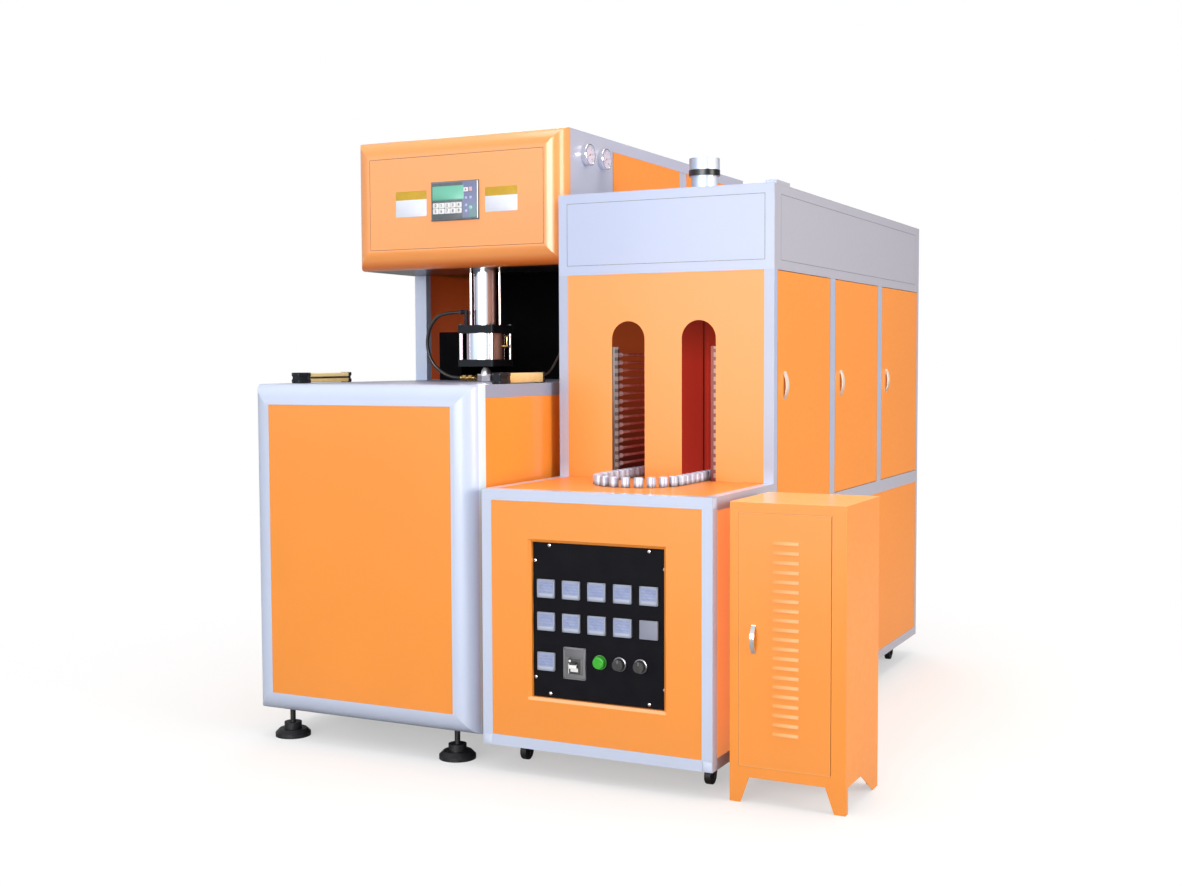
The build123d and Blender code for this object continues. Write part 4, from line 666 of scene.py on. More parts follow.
class StudioStage(bpy.types.Operator):
    """Lays the pale floor and hangs the soft studio lamps"""

    bl_idname = "blowset.stage"
    bl_label = "Studio stage"

    def execute(self, context):
        scene = context.scene
        scene.view_settings.view_transform = "Standard"
        shape = bmesh.new()
        bmesh.ops.create_circle(shape, cap_ends=True, segments=96, radius=60.0)
        mesh = bpy.data.meshes.new("studio_floor")
        shape.to_mesh(mesh)
        shape.free()
        floor = bpy.data.objects.new("studio_floor", mesh)
        scene.collection.objects.link(floor)

        paint = Finish("studio_floor", 0.9)
        rays = paint.node("ShaderNodeLightPath")
        camera_ray = Reading(paint, rays.outputs["Is Camera Ray"])
        clear_ray = Reading(paint, rays.outputs["Is Transmission Ray"])
        seen = (camera_ray + clear_ray).clamped()
        pale = paint.cloudy((0.90, 0.90, 0.90), (0.92, 0.92, 0.92), 0.8, 3.0)
        paint.wear("Base Color", paint.tint(seen, (0.36, 0.36, 0.36), pale))
        reach = paint.read("ShaderNodeVectorMath", "Value", {"operation": "LENGTH"}, {0: paint.place})
        far = paint.spread(reach, 0.45, 1.0, 1.3, 3.4)
        glow = paint.node("ShaderNodeEmission", None, {"Color": WHITE, "Strength": 1.0})
        cover = paint.node("ShaderNodeMixShader")
        paint.tree.links.new((seen * far).socket, cover.inputs[0])
        paint.tree.links.new(paint.shader.outputs[0], cover.inputs[1])
        paint.tree.links.new(glow.outputs[0], cover.inputs[2])
        output = paint.tree.nodes["Material Output"]
        paint.tree.links.new(cover.outputs[0], output.inputs["Surface"])
        mesh.materials.append(paint.material)

        world = bpy.data.worlds.new("studio")
        scene.world = world
        sky = Nodes(world)
        rays = sky.node("ShaderNodeLightPath")
        camera_ray = Reading(sky, rays.outputs["Is Camera Ray"])
        clear_ray = Reading(sky, rays.outputs["Is Transmission Ray"])
        glossy_ray = Reading(sky, rays.outputs["Is Glossy Ray"])
        across, along, up = sky.axes(sky.read("ShaderNodeTexCoord", "Generated"))
        room = (0.62 - along * 0.35 - across * 0.10).clamped()
        tall = sky.ramp(up, 0.0, 0.09, 0.0, 1.0)
        window = sky.ramp(across * 0.139 - along * 0.990, 0.90, 0.97, 0.0, 13.0)
        panel = sky.ramp(along * -0.891 - across * 0.454, 0.86, 0.97, 0.0, 1.0)
        room = room + window * tall + panel * sky.ramp(up, -0.03, 0.10, 0.0, 1.6)
        plain = (camera_ray + clear_ray).clamped()
        strength = plain + (1.0 - plain) * (glossy_ray * room + (1.0 - glossy_ray) * 0.64)
        background = sky.tree.nodes["Background"]
        sky.fill(background.inputs["Color"], WHITE)
        sky.fill(background.inputs["Strength"], strength)

        aim = (-0.2, -0.6, 1.1)
        studio_lamp("key_softbox", (-0.9, -8.8, 2.0), aim, 5.0, 3.0, 205.0, (1.0, 0.985, 0.96))
        studio_lamp("edge_softbox", (1.6, -7.6, 2.0), aim, 1.1, 3.6, 60.0, (1.0, 0.97, 0.91))
        studio_lamp("side_softbox", (8.0, -1.8, 2.4), aim, 3.5, 3.5, 390.0, (1.0, 0.95, 0.90))
        studio_lamp("top_softbox", (-0.2, 0.0, 6.5), (-0.2, 0.0, 1.0), 5.0, 5.0, 215.0)
        studio_lamp("back_softbox", (-4.0, 7.0, 4.0), aim, 3.5, 3.5, 100.0)
        return {"FINISHED"}


def orange_finishes(paint):
    """The orange enamels, each with the parts that wear it."""

    # Painted shade: the head's lower rounding, below 1.8 m, is painted a deeper orange
    def low_rounding(finish):
        return finish.ramp(finish.axis(2), 1.800, 1.775, 0.0, 1.0)

    # Painted light: the cabinet's top, above 0.95 m, is painted a paler orange
    def cabinet_top(finish):
        return finish.axis(2) > 0.9500

    # Painted light: the strip of the heater's side beside the cabinet, which the cabinet shades
    def beside_cabinet(finish):
        return between(finish, 0, 0.69, 0.71) * between(finish, 1, -1.31, -1.12)

    # Painted light: the lower lip of the heater's front panel is painted a paler orange
    def lower_lip(finish):
        face = between(finish, 2, 0.2445, 0.2665) * between(finish, 0, 0.026, 0.554)
        return face * between(finish, 1, -1.2987, -1.276)

    # Painted highlight: a pale band on each louvre's lip, stronger towards its right end
    def louvre_lips(finish):
        x, y, z = finish.axes(finish.place)
        turn = finish.sum("FRACT", (z - 0.2240) * (1 / 0.0299), 0.0)
        row = (turn < 0.34) * between(finish, 2, 0.2235, 0.8335)
        slot = (x < 0.9755) * finish.ramp(x, 0.8905, 0.955, 0.25, 1.0) * (x > 0.8905)
        return row * slot * (y < -1.2704)

    # Painted shade and painted light: the inner face of the column's left panel
    def inner_face(finish):
        return between(finish, 0, -1.1243, -1.10) * (finish.axis(2) < 1.77)

    # Painted shade: a redder, darker copy of the orange for the heater's panels and the station's side doors
    shaded_side_orange = (0.97, 0.305, 0.024)
    beside = enamel("panel_orange", shaded_side_orange, 0.02, 0.38, 0.15)
    # Painted light: the panels glow orange beside the cabinet, though they are no lamp
    beside.wear("Emission Color", beside.tint(beside_cabinet(beside), BLACK, (0.34, 0.17, 0.062)))
    beside.wear("Emission Strength", 1.0)
    column = enamel(
        "column_orange", (0.95, 0.275, 0.030), 0.0, 0.40, 0.15, None, inner_face, (0.95, 0.20, 0.03)
    )
    # Painted light: the inner face glows, less towards the top
    glow = column.graded(column.axis(2), 1.45, 1.75, (0.25, 0.042, 0.016), (0.12, 0.014, 0.003))
    column.wear("Emission Color", column.tint(inner_face(column), BLACK, glow))
    column.wear("Emission Strength", 0.6)

    orange = enamel("orange_enamel", paint, 0.03, 0.34, 0.5)
    table = enamel("table_orange", paint, 0.10, 0.50, 0.1)
    head = enamel("head_orange", paint, 0.07, 0.34, 0.6, None, low_rounding, (0.86, 0.20, 0.015))
    side = enamel("side_orange", shaded_side_orange, 0.02, 0.38, 0.15)
    cabinet = enamel("cabinet_orange", paint, 0.03, 0.34, 0.3, None, cabinet_top, (1.0, 0.55, 0.21))
    lipped = enamel("lipped_orange", paint, 0.03, 0.34, 0.6, None, lower_lip, (1.0, 0.52, 0.22))
    louvred = enamel("louvred_orange", paint, 0.03, 0.34, 0.6, None, louvre_lips, (1.0, 0.50, 0.21))
    hood = enamel("hood_orange", (0.95, 0.335, 0.055), 0.05, 0.38, 0.15)
    return (
        (orange, ("blow_front_panel", "blow_side_panels")),
        (table, ("heater_table",)),
        (head, ("head_shell",)),
        (side, ("door_front", "door_middle", "door_rear")),
        (beside, ("heater_panels",)),
        (cabinet, ("locker_body",)),
        (lipped, ("heater_front_panel",)),
        (louvred, ("locker_door",)),
        (hood, ("hood_front",)),
        (column, ("upper_panels",)),
    )


def white_finishes(cover):
    """The white enamels, each with the parts that wear it."""
    # Painted shade: a darker copy of the white for the rails and covers that look to the right
    painted_side_shade = (0.48, 0.475, 0.56)

    # Painted shade: the frame is painted darker above 1.02 m, where the hood's posts stand
    def hood_posts(finish):
        return finish.ramp(finish.axis(2), 0.96, 1.02, 0.0, 1.0)

    # Painted shade: the cover's base plate under the head is painted near-black
    def under_head(finish):
        return (finish.axis(2) < 1.7740) * between(finish, 0, -1.1232, -0.1778)

    # Painted reflection: the table top under the head is painted darker, for the black bulkhead mirrored in
    # it
    def under_bay(finish):
        return between(finish, 1, -1.20, -0.27) * between(finish, 0, -1.10, -0.1790)

    white = enamel("white_enamel", cover, 0.0, 0.32, 0.3, painted_side_shade)
    # Painted light: the surround's right-facing faces take a paler copy of the white
    surround = enamel("surround_enamel", cover, 0.0, 0.32, 0.3, (0.72, 0.92, 1.0))
    # Painted shade: a darker copy of the white enamel for the hood cover
    hood = enamel("hood_enamel", (0.47, 0.55, 0.78), 0.0, 0.32, 0.3, painted_side_shade)
    posts = enamel("frame_enamel", cover, 0.0, 0.32, 0.3, painted_side_shade, hood_posts, (0.44, 0.50, 0.68))
    roofed = enamel(
        "cover_enamel", cover, 0.0, 0.32, 0.3, painted_side_shade, under_head, (0.012, 0.010, 0.010)
    )
    # Painted shade: the table's right-facing faces take a darker copy of the white
    table = enamel(
        "table_enamel", cover, 0.0, 0.40, 0.0, (0.30, 0.36, 0.50), under_bay, (0.30, 0.31, 0.40)
    )
    table.wear("Specular IOR Level", 0.15)
    return (
        (white, ("blow_frame",)),
        (surround, ("blow_front_surround",)),
        (hood, ("hood_cover",)),
        (posts, ("heater_frame",)),
        (roofed, ("upper_covers",)),
        (table, ("blow_table",)),
    )


def plastic_finishes(colours):
    """The black, grey and coloured plastics and satin paints, each with the parts that wear it."""
    panel = satin("panel_black", tuple(colours.panel_black), 0.42, 600.0, 0.00005, 0.015, 0.04)
    anodised = satin("black_anodised", (0.010, 0.013, 0.018), 0.40, 300.0, 0.00004, 0.03, 0.12)
    # Painted shade: the bulkhead behind the bay is near-black, standing for the shade deep in the bay
    bulkhead = satin("bulkhead_black", (0.002, 0.002, 0.003), 0.6, 300.0, 0.00006, 0.01, 0.02)
    foot = satin("foot_black", (0.007, 0.007, 0.009), 0.40, 500.0, 0.00012, 0.06, 0.35)
    tread = satin("caster_tread", (0.008, 0.008, 0.009), 0.55, 400.0, 0.0002, 0.06, 0.3)
    display = satin("display_grey", (0.15, 0.17, 0.20), 0.38)
    switchgear = satin("instrument_grey", (0.34, 0.36, 0.42), 0.42)
    knob = satin("knob_black", (0.018, 0.018, 0.02), 0.35)
    button = satin("button_green", tuple(colours.button), 0.22, 500.0, 0.00003, 0.2)

    lever = Finish("lever_white", 0.3)
    ivory = lever.cloudy((0.82, 0.83, 0.85), (0.76, 0.77, 0.80), 90.0, 2.0)
    lever.wear("Base Color", lever.tint(lever.axis(2) > 0.3885, ivory, (0.03, 0.03, 0.035)))
    lever.bump(lever.noise(600.0, 1.0), 0.00003, 0.3)

    instruments = Finish("instrument_grey", 0.42)
    x, _, z = instruments.axes(instruments.place)
    on_panel = instruments.read("ShaderNodeCombineXYZ", 0, None, {0: x, 2: z})
    collar = instruments.read(
        "ShaderNodeVectorMath", "Value", {"operation": "DISTANCE"}, {0: on_panel, 1: (0.2965, 0.0, 0.402)}
    )
    grey = instruments.cloudy((0.30, 0.32, 0.39), (0.35, 0.37, 0.44), 60.0, 3.0)
    instruments.wear("Base Color", instruments.tint(collar < 0.0255, grey, (0.05, 0.30, 0.035)))
    instruments.bump(instruments.noise(500.0, 2.0), 0.00006, 0.4)

    corners = ("front_left", "front_right", "rear_left", "rear_right")
    return (
        (panel, ("control_panel",)),
        (bulkhead, ("bulkhead",)),
        (anodised, ("seal_plates", "lock_slides", *(f"caster_fork_{corner}" for corner in corners))),
        (foot, ("levelling_feet",)),
        (tread, tuple(f"caster_wheel_{corner}" for corner in corners)),
        (display, ("display_unit",)),
        (switchgear, ("locker_gear",)),
        (knob, ("speed_knob_left", "speed_knob_right")),
        (button, ("start_button",)),
        (lever, ("breaker_lever",)),
        (instruments, ("panel_instruments",)),
    )


def metal_finishes():
    """The bare and plated metals, each with the parts that wear it."""
    chrome = bright_metal("chrome_plate", (0.86, 0.87, 0.90), 0.05, (1.0, 1.0, 0.05), 0.03)
    steel = bright_metal("brushed_steel", (0.62, 0.63, 0.65), 0.24, (1.0, 1.0, 0.04), 0.12)
    aluminium = bright_metal("machined_aluminium", (0.74, 0.76, 0.80), 0.28, (1.0, 0.05, 1.0), 0.14)
    brass = bright_metal("fitting_brass", (0.72, 0.46, 0.16), 0.22, (0.1, 1.0, 1.0), 0.10)
    ram = painted_reflection_chrome("ram_chrome", 0.046)
    block = painted_reflection_chrome("block_chrome", 0.078)

    duct = Finish("duct_steel", 0.28, 0.25)
    # Painted shading: dark, pale blue, white and dark bands across the pipe as the camera sees it; the black
    # band near the top is the pipe's own
    shift = duct.across(DUCT_AXIS)
    painted_shading = duct.graded(shift, -0.058, -0.02, (0.30, 0.33, 0.38), (0.58, 0.68, 0.86))
    painted_shading = duct.graded(shift, 0.0, 0.02, painted_shading, (0.84, 0.87, 0.92))
    painted_shading = duct.graded(shift, 0.035, 0.058, painted_shading, (0.34, 0.36, 0.42))
    duct.wear("Base Color", duct.tint(between(duct, 2, 2.0905, 2.1132), painted_shading, (0.008, 0.008, 0.010)))
    duct.bump(duct.noise(120.0, 3.0, (1.0, 1.0, 0.05)), 0.00003, 0.3)

    nickel = Finish("holder_nickel", 0.32, 0.25)
    body = nickel.cloudy((0.58, 0.68, 0.88), (0.40, 0.46, 0.60), 34.0, 2.0, (1.0, 1.0, 0.3))
    foot = nickel.ramp(nickel.axis(2), 0.966, 0.978, 1.0, 0.0)
    nickel.wear("Base Color", nickel.tint(foot, body, (0.22, 0.20, 0.22)))
    nickel.bump(nickel.noise(300.0, 2.0), 0.00003, 0.3)

    pull = Finish("pull_white", 0.25, 0.3)
    # Painted shade: the handles darken to a warm brown towards their bottom
    cream = pull.graded(pull.axis(2), 1.262, 1.30, (0.62, 0.52, 0.46), (0.90, 0.87, 0.82))
    pull.wear("Base Color", cream)
    pull.bump(pull.noise(200.0, 2.0), 0.00002, 0.3)

    hexagon = Finish("hex_chrome", 0.38, 0.35)
    # Painted reflection: bands across the hexagon's faces as the camera sees it, and a painted highlight
    # fading across its top
    dome = hexagon.axis(2) > 1.3345
    shift = hexagon.across(HEAD_AXIS)
    face = hexagon.graded(shift, -0.020, -0.008, (0.40, 0.37, 0.44), (0.27, 0.27, 0.33))
    face = hexagon.graded(shift, 0.012, 0.020, face, (0.17, 0.15, 0.19))
    painted_shine = hexagon.graded(shift, -0.004, 0.010, (0.88, 0.88, 0.92), (0.30, 0.26, 0.30))
    hexagon.wear("Base Color", hexagon.tint(dome, face, painted_shine))
    hexagon.bump(hexagon.noise(220.0, 2.0), 0.00003, 0.3)

    gold = Finish("gold_barrel", 0.30)
    barrel = between(gold, 1, -1.00465, -0.75975)
    # Painted light: the barrels grow paler towards their top; the clouds are the metal's own
    gold_with_painted_light = gold.graded(gold.axis(2), 1.318, 1.346, (0.74, 0.50, 0.17), (0.90, 0.72, 0.34))
    gold_with_painted_light = gold.tint(gold.spread(gold.noise(30.0, 3.0), 0.0, 0.35), gold_with_painted_light, (0.96, 0.80, 0.42))
    gold.wear("Base Color", gold.tint(barrel, (0.010, 0.010, 0.013), gold_with_painted_light))
    gold.wear("Metallic", gold.ramp(barrel, 0.0, 1.0, 0.0, 0.20))
    gold.bump(gold.noise(200.0, 2.0, (1.0, 0.05, 1.0)), 0.00003, 0.3)
    return (
        (chrome, ("pressure_gauges", "locker_handle", "stretch_rod")),
        (steel, ("seal_cylinder", "clamp_unit", "chain_drive")),
        (aluminium, ("mould_front", "mould_rear")),
        (brass, ("hose_union",)),
        (ram, ("seal_ram",)),
        (block, ("seal_block",)),
        (duct, ("exhaust_duct",)),
        (nickel, ("preform_holders",)),
        (pull, ("door_front_handle", "door_middle_handle", "door_rear_handle")),
        (hexagon, ("neck_block",)),
        (gold, ("lock_cylinders",)),
    )


def oven_finishes():
    """The reflectors and lamps seen through the arches, each with the parts that wear it."""
    mirror = Finish("hood_reflector", 0.34)
    x, _, z = mirror.axes(mirror.place)
    brackets = (between(mirror, 1, -0.7235, -0.7095) + between(mirror, 1, 0.99, 1.01)).clamped()
    fold = between(mirror, 1, -0.452, -0.428) * between(mirror, 0, 0.30, 0.33)
    centre = between(mirror, 0, 0.235, 0.33)
    # Painted shade: the centre reflector is a dark brown that grows paler upwards
    shaded_centre_reflector = mirror.graded(z, 1.0, 1.45, (0.05, 0.006, 0.004), (0.24, 0.05, 0.012))
    red = mirror.cloudy((0.50, 0.034, 0.020), (0.43, 0.028, 0.018), 5.0, 3.0, (1.0, 1.0, 0.4))
    # Painted shade: the red reflectors darken towards the top and at their fold
    red = mirror.tint(mirror.spread(z, 1.0, 0.0, 1.38, 1.54), (0.24, 0.02, 0.012), red)
    red = mirror.tint(fold, red, (0.06, 0.010, 0.006))
    sheet = mirror.tint(centre, shaded_centre_reflector, red)
    bead = mirror.sum("FRACT", (z - 1.0037) * (1 / 0.0286), 0.0) < 0.55
    strip = mirror.graded(z, 1.15, 1.35, (0.06, 0.04, 0.04), (0.26, 0.25, 0.26))
    cap_end = mirror.tint(bead, (0.030, 0.012, 0.008), (0.17, 0.135, 0.135))
    strip = mirror.tint(x > 0.0870, strip, cap_end)
    rim = mirror.tint(bead * (x > 0.4750), (0.15, 0.010, 0.007), (0.40, 0.30, 0.28))
    strip = mirror.tint(x > 0.40, strip, rim)
    mirror.wear("Base Color", mirror.tint(brackets, sheet, strip))
    # Painted light: the reflector sheets glow, though they are no lamps
    mirror.wear("Emission Color", mirror.tint(brackets * (x < 0.40), sheet, BLACK))
    mirror.wear("Emission Strength", 0.55)
    mirror.bump(mirror.noise(90.0, 2.0, (1.0, 1.0, 0.1)), 0.00004, 0.3)

    lamp = Finish("lamp_quartz", 0.12, 0.0, 0.5)
    tube = between(lamp, 1, -0.6652, 0.9452)
    glass = lamp.cloudy((0.56, 0.36, 0.34), (0.44, 0.26, 0.24), 40.0, 2.0)
    lamp.wear("Base Color", lamp.tint(tube, (0.62, 0.60, 0.66), glass))
    lamp.wear("Roughness", lamp.spread(tube, 0.55, 0.14, 0.0, 1.0))
    lamp.bump(lamp.noise(500.0, 2.0), 0.00003, 0.3)
    return ((mirror, ("lamp_rails",)), (lamp, ("heat_lamps",)))


class PaintedMetal(bpy.types.Operator):
    """Gives every part of the set its finish"""

    bl_idname = "blowset.finishes"
    bl_label = "Finishes"

    def execute(self, context):
        colours = context.scene.blow_colours
        finishes = (
            *orange_finishes(tuple(colours.orange)),
            *white_finishes(tuple(colours.white)),
            *plastic_finishes(colours),
            *metal_finishes(),
            *oven_finishes(),
        )
        dressed = set()
        for finish, names in finishes:
            for name in names:
                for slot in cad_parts[name].material_slots:
                    slot.material = finish.material
                dressed.add(name)
        left_over = set(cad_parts) - dressed - {"air_hoses"}
        if left_over:
            raise RuntimeError(f"these parts have no finish: {sorted(left_over)}")
        return {"FINISHED"}


class OperatorDisplay(bpy.types.Operator):
    """Builds the display's membrane, screen, keys and digits"""

    bl_idname = "blowset.display"
    bl_label = "Operator display"

    def execute(self, context):
        colours = context.scene.blow_colours

        membrane = Finish("display_membrane", 0.4)
        x, _, z = membrane.axes(membrane.place)
        side = membrane.spread(x, 0.0, 1.0, -0.6075, -0.6045)
        low = membrane.spread(z, 1.0, 0.0, 1.965, 2.02)
        right = membrane.spread(x, 0.0, 1.0, -0.590, -0.565)
        violet = membrane.tint(low * right, (0.15, 0.18, 0.32), (0.08, 0.20, 0.22))
        slate = membrane.cloudy((0.085, 0.105, 0.125), (0.11, 0.135, 0.155), 60.0, 3.0)
        membrane.wear("Base Color", membrane.tint(side, slate, violet))
        membrane.bump(membrane.noise(700.0, 2.0), 0.00004, 0.4)
        middle = front_face(-644.5, 2019.5, DISPLAY_FACE_Y)
        single(plate(204, 140, 0.55, 3.0, 0.2), middle, "display_membrane", membrane)

        glass = Finish("display_glass", 0.34, 0.0, 0.08, 0.2)
        x, _, z = glass.axes(glass.place)
        rows = glass.read(
            "ShaderNodeTexWave", "Fac", {"wave_type": "BANDS", "bands_direction": "Z"},
            {"Vector": glass.place, "Scale": 90.0},
        )
        screen = tuple(colours.screen)
        bottom = glass.spread(z, 1.0, 0.0, 2.0215, 2.0275)
        body = glass.tint(glass.spread(rows, 0.0, 0.10), screen, (0.20, 0.50, 0.40))
        glass.wear("Base Color", glass.tint(bottom, body, (0.05, 0.20, 0.16)))
        glass.wear("Emission Strength", 0.12)
        glass.wear("Emission Color", body)
        window = front_face(-672.0, 2049.0, DISPLAY_FACE_Y - 0.2)
        single(plate(143, 56, 0.9, 2.0, 0.3), window, "display_screen", glass)

        key_white = satin("key_white", (0.84, 0.85, 0.87), 0.4, 700.0, 0.00004, 0.1)
        keys, digits = [], []
        digit_size = context.scene.blow_sizes.digit
        for row, z in enumerate((2002.0, 1980.0)):
            for column in range(5):
                x = -743 + 26.6 * column + 1.6 + 12.5
                keys.append((plate(25.4, 20.6, 1.9, 2.2, 0.7, 3), front_face(x, z, DISPLAY_FACE_Y)))
                number = str(5 * row + column)
                digits.append(
                    (character(number, digit_size, 0.3), front_face(x, z, DISPLAY_FACE_Y - 1.85))
                )
        several(keys, "display_keys", key_white)
        ink = flat_print("digit_ink", (0.03, 0.035, 0.04))
        several(digits, "display_digits", ink)

        side_key = plate(20.5, 16.0, 1.6, 2.0, 0.6, 3)
        place = front_face(-590.6, 2059.5, DISPLAY_FACE_Y)
        single(side_key, place, "display_side_key", key_white)
        mark = turned([(0, 0), (2.9, 0), (2.9, 0.35), (0, 0.35)], 20)
        place = front_face(-590.6, 2059.5, DISPLAY_FACE_Y - 1.55)
        single(mark, place, "display_side_mark", ink)
        pink = satin("key_pink", (0.72, 0.44, 0.50), 0.4, 700.0, 0.00004, 0.1)
        stop_key = plate(14.5, 16.0, 1.6, 2.0, 0.6, 3)
        place = front_face(-569.5, 2060.5, DISPLAY_FACE_Y)
        single(stop_key, place, "display_stop_key", pink)
        button_profile = [(0, 0), (5.6, 0), (5.6, 0.9), (4.6, 1.5), (2.0, 1.8), (0, 1.85)]
        violet_key = satin("key_violet", (0.46, 0.50, 0.84), 0.3, 700.0, 0.00004, 0.3)
        rounds = ((-589.8, 2027.6), (-569.4, 2028.0), (-589.8, 1999.0), (-589.8, 1977.0))
        several(
            [(turned(button_profile, 24), front_face(x, z, DISPLAY_FACE_Y)) for x, z in rounds],
            "display_round_keys", violet_key,
        )
        wide = [(radius * 1.3, height) for radius, height in button_profile]
        mint = satin("key_mint", (0.30, 0.62, 0.58), 0.3, 700.0, 0.00004, 0.3)
        place = front_face(-569.4, 1989.0, DISPLAY_FACE_Y)
        single(turned(wide, 24), place, "display_mint_key", mint)
        trim = bright_metal("display_trim", (0.88, 0.89, 0.92), 0.3)
        place = front_face(-538.6, 2019.5, DISPLAY_FACE_Y + 0.2)
        single(plate(2.2, 146.0, 0.8, 0.8, 0.3, 3), place, "display_trim", trim)
        place = front_face(-645.0, 1945.6, DISPLAY_FACE_Y + 0.2)
        single(plate(212.0, 3.4, 0.8, 1.0, 0.3, 3), place, "display_sill", ink)
        return {"FINISHED"}


class BlankPlates(bpy.types.Operator):
    """Fixes the two plain two-tone plates beside the display"""

    bl_idname = "blowset.blank_plates"
    bl_label = "Blank plates"

    def execute(self, context):
        plates = (
            ("left_blank_plate", -850.0, 145.0, 1966.0, 2067.0, 2033.0),
            ("right_blank_plate", -437.0, 143.0, 1969.0, 2064.0, 2030.0),
        )
        for name, x, width, low, high, split in plates:
            film = Finish(name, 0.35)
            z = film.axis(2)
            cloud = film.spread(film.noise(30.0, 3.0), 0.0, 1.0)
            mustard = film.tint(cloud, (0.58, 0.36, 0.01), (0.52, 0.31, 0.01))
            pale = film.tint(cloud, (0.78, 0.82, 0.93), (0.74, 0.79, 0.90))
            film.wear("Base Color", film.tint(z > split * MM, pale, mustard))
            film.bump(film.noise(600.0, 2.0), 0.00003, 0.3)
            face = front_face(x, (low + high) / 2, HEAD_FACE_Y + 0.2)
            single(plate(width, high - low, 1.0, 4.0, 0.3), face, name, film)
        return {"FINISHED"}


class PressureDials(bpy.types.Operator):
    """Builds dials, marks, needles and glasses of the two pressure gauges"""

    bl_idname = "blowset.pressure_dials"
    bl_label = "Pressure dials"

    def execute(self, context):
        dial_white = satin("dial_white", (0.70, 0.57, 0.63), 0.5, 600.0, 0.00002, 0.2)
        ink = flat_print("dial_ink", (0.03, 0.03, 0.035))
        red = flat_print("needle_red", (0.35, 0.03, 0.03))
        faces, marks, needles, rings = [], [], [], []
        sweep_start, sweep = radians(225), radians(270)
        for y in GAUGES_Y:
            face = right_face(y, GAUGE_Z, GAUGE_FACE_X)
            faces.append((turned([(0, 0), (36.4, 0), (36.4, 0.5), (0, 0.5)], 48), face))
            for step in range(51):
                angle = sweep_start - sweep * step / 50
                long = step % 10 == 0
                length, width = (6.0, 1.1) if long else (3.2, 0.5)
                radius = 33.5 - length / 2
                place = face @ Matrix.Rotation(angle, 4, "Z")
                place = place @ Matrix.Translation((radius * MM, 0, 0.45 * MM))
                marks.append((plate(length, width, 0.25), place))
                if long:
                    spot = Vector((cos(angle), sin(angle), 0)) * 22.5 * MM
                    place = face @ Matrix.Translation((spot.x, spot.y, 0.45 * MM))
                    marks.append((character(str(step // 10 * 2), 8.5, 0.25), place))
            turn = Matrix.Rotation(sweep_start - sweep * 0.08, 4, "Z")
            needle = face @ turn @ Matrix.Translation((10.5 * MM, 0, 1.1 * MM))
            needles.append((plate(43.0, 1.7, 0.5, 0.6), needle))
            hub = face @ Matrix.Translation((0, 0, 0.5 * MM))
            needles.append((turned([(0, 0), (3.6, 0), (3.6, 1.3), (2.6, 1.9), (0, 2.0)], 20), hub))
            ring = [(36.2, 0.2), (41.6, 0.2), (41.6, 3.1), (40.4, 3.9), (37.6, 3.9), (36.2, 2.4), (36.2, 0.2)]
            rings.append((turned(ring, 56), face))
        several(faces, "gauge_dials", dial_white)
        several(marks, "gauge_marks", ink)
        several(needles, "gauge_needles", red)
        chrome = bright_metal("bezel_chrome", (0.86, 0.87, 0.90), 0.10)
        several(rings, "gauge_bezels", chrome)
        glass = Finish("gauge_glass", 0.06, 0.0, 0.0)
        glass.wear("Base Color", glass.tint(glass.noise(20.0, 1.0), (0.9, 0.9, 0.95), (0.8, 0.85, 0.9)))
        glass.wear("Alpha", 0.10)
        pane = [(0, 0), (36.3, 0), (36.3, 0.5), (0, 0.8)]
        panes = [(turned(pane, 48), right_face(y, GAUGE_Z, GAUGE_FACE_X + 2.0)) for y in GAUGES_Y]
        several(panes, "gauge_glasses", glass)
        return {"FINISHED"}


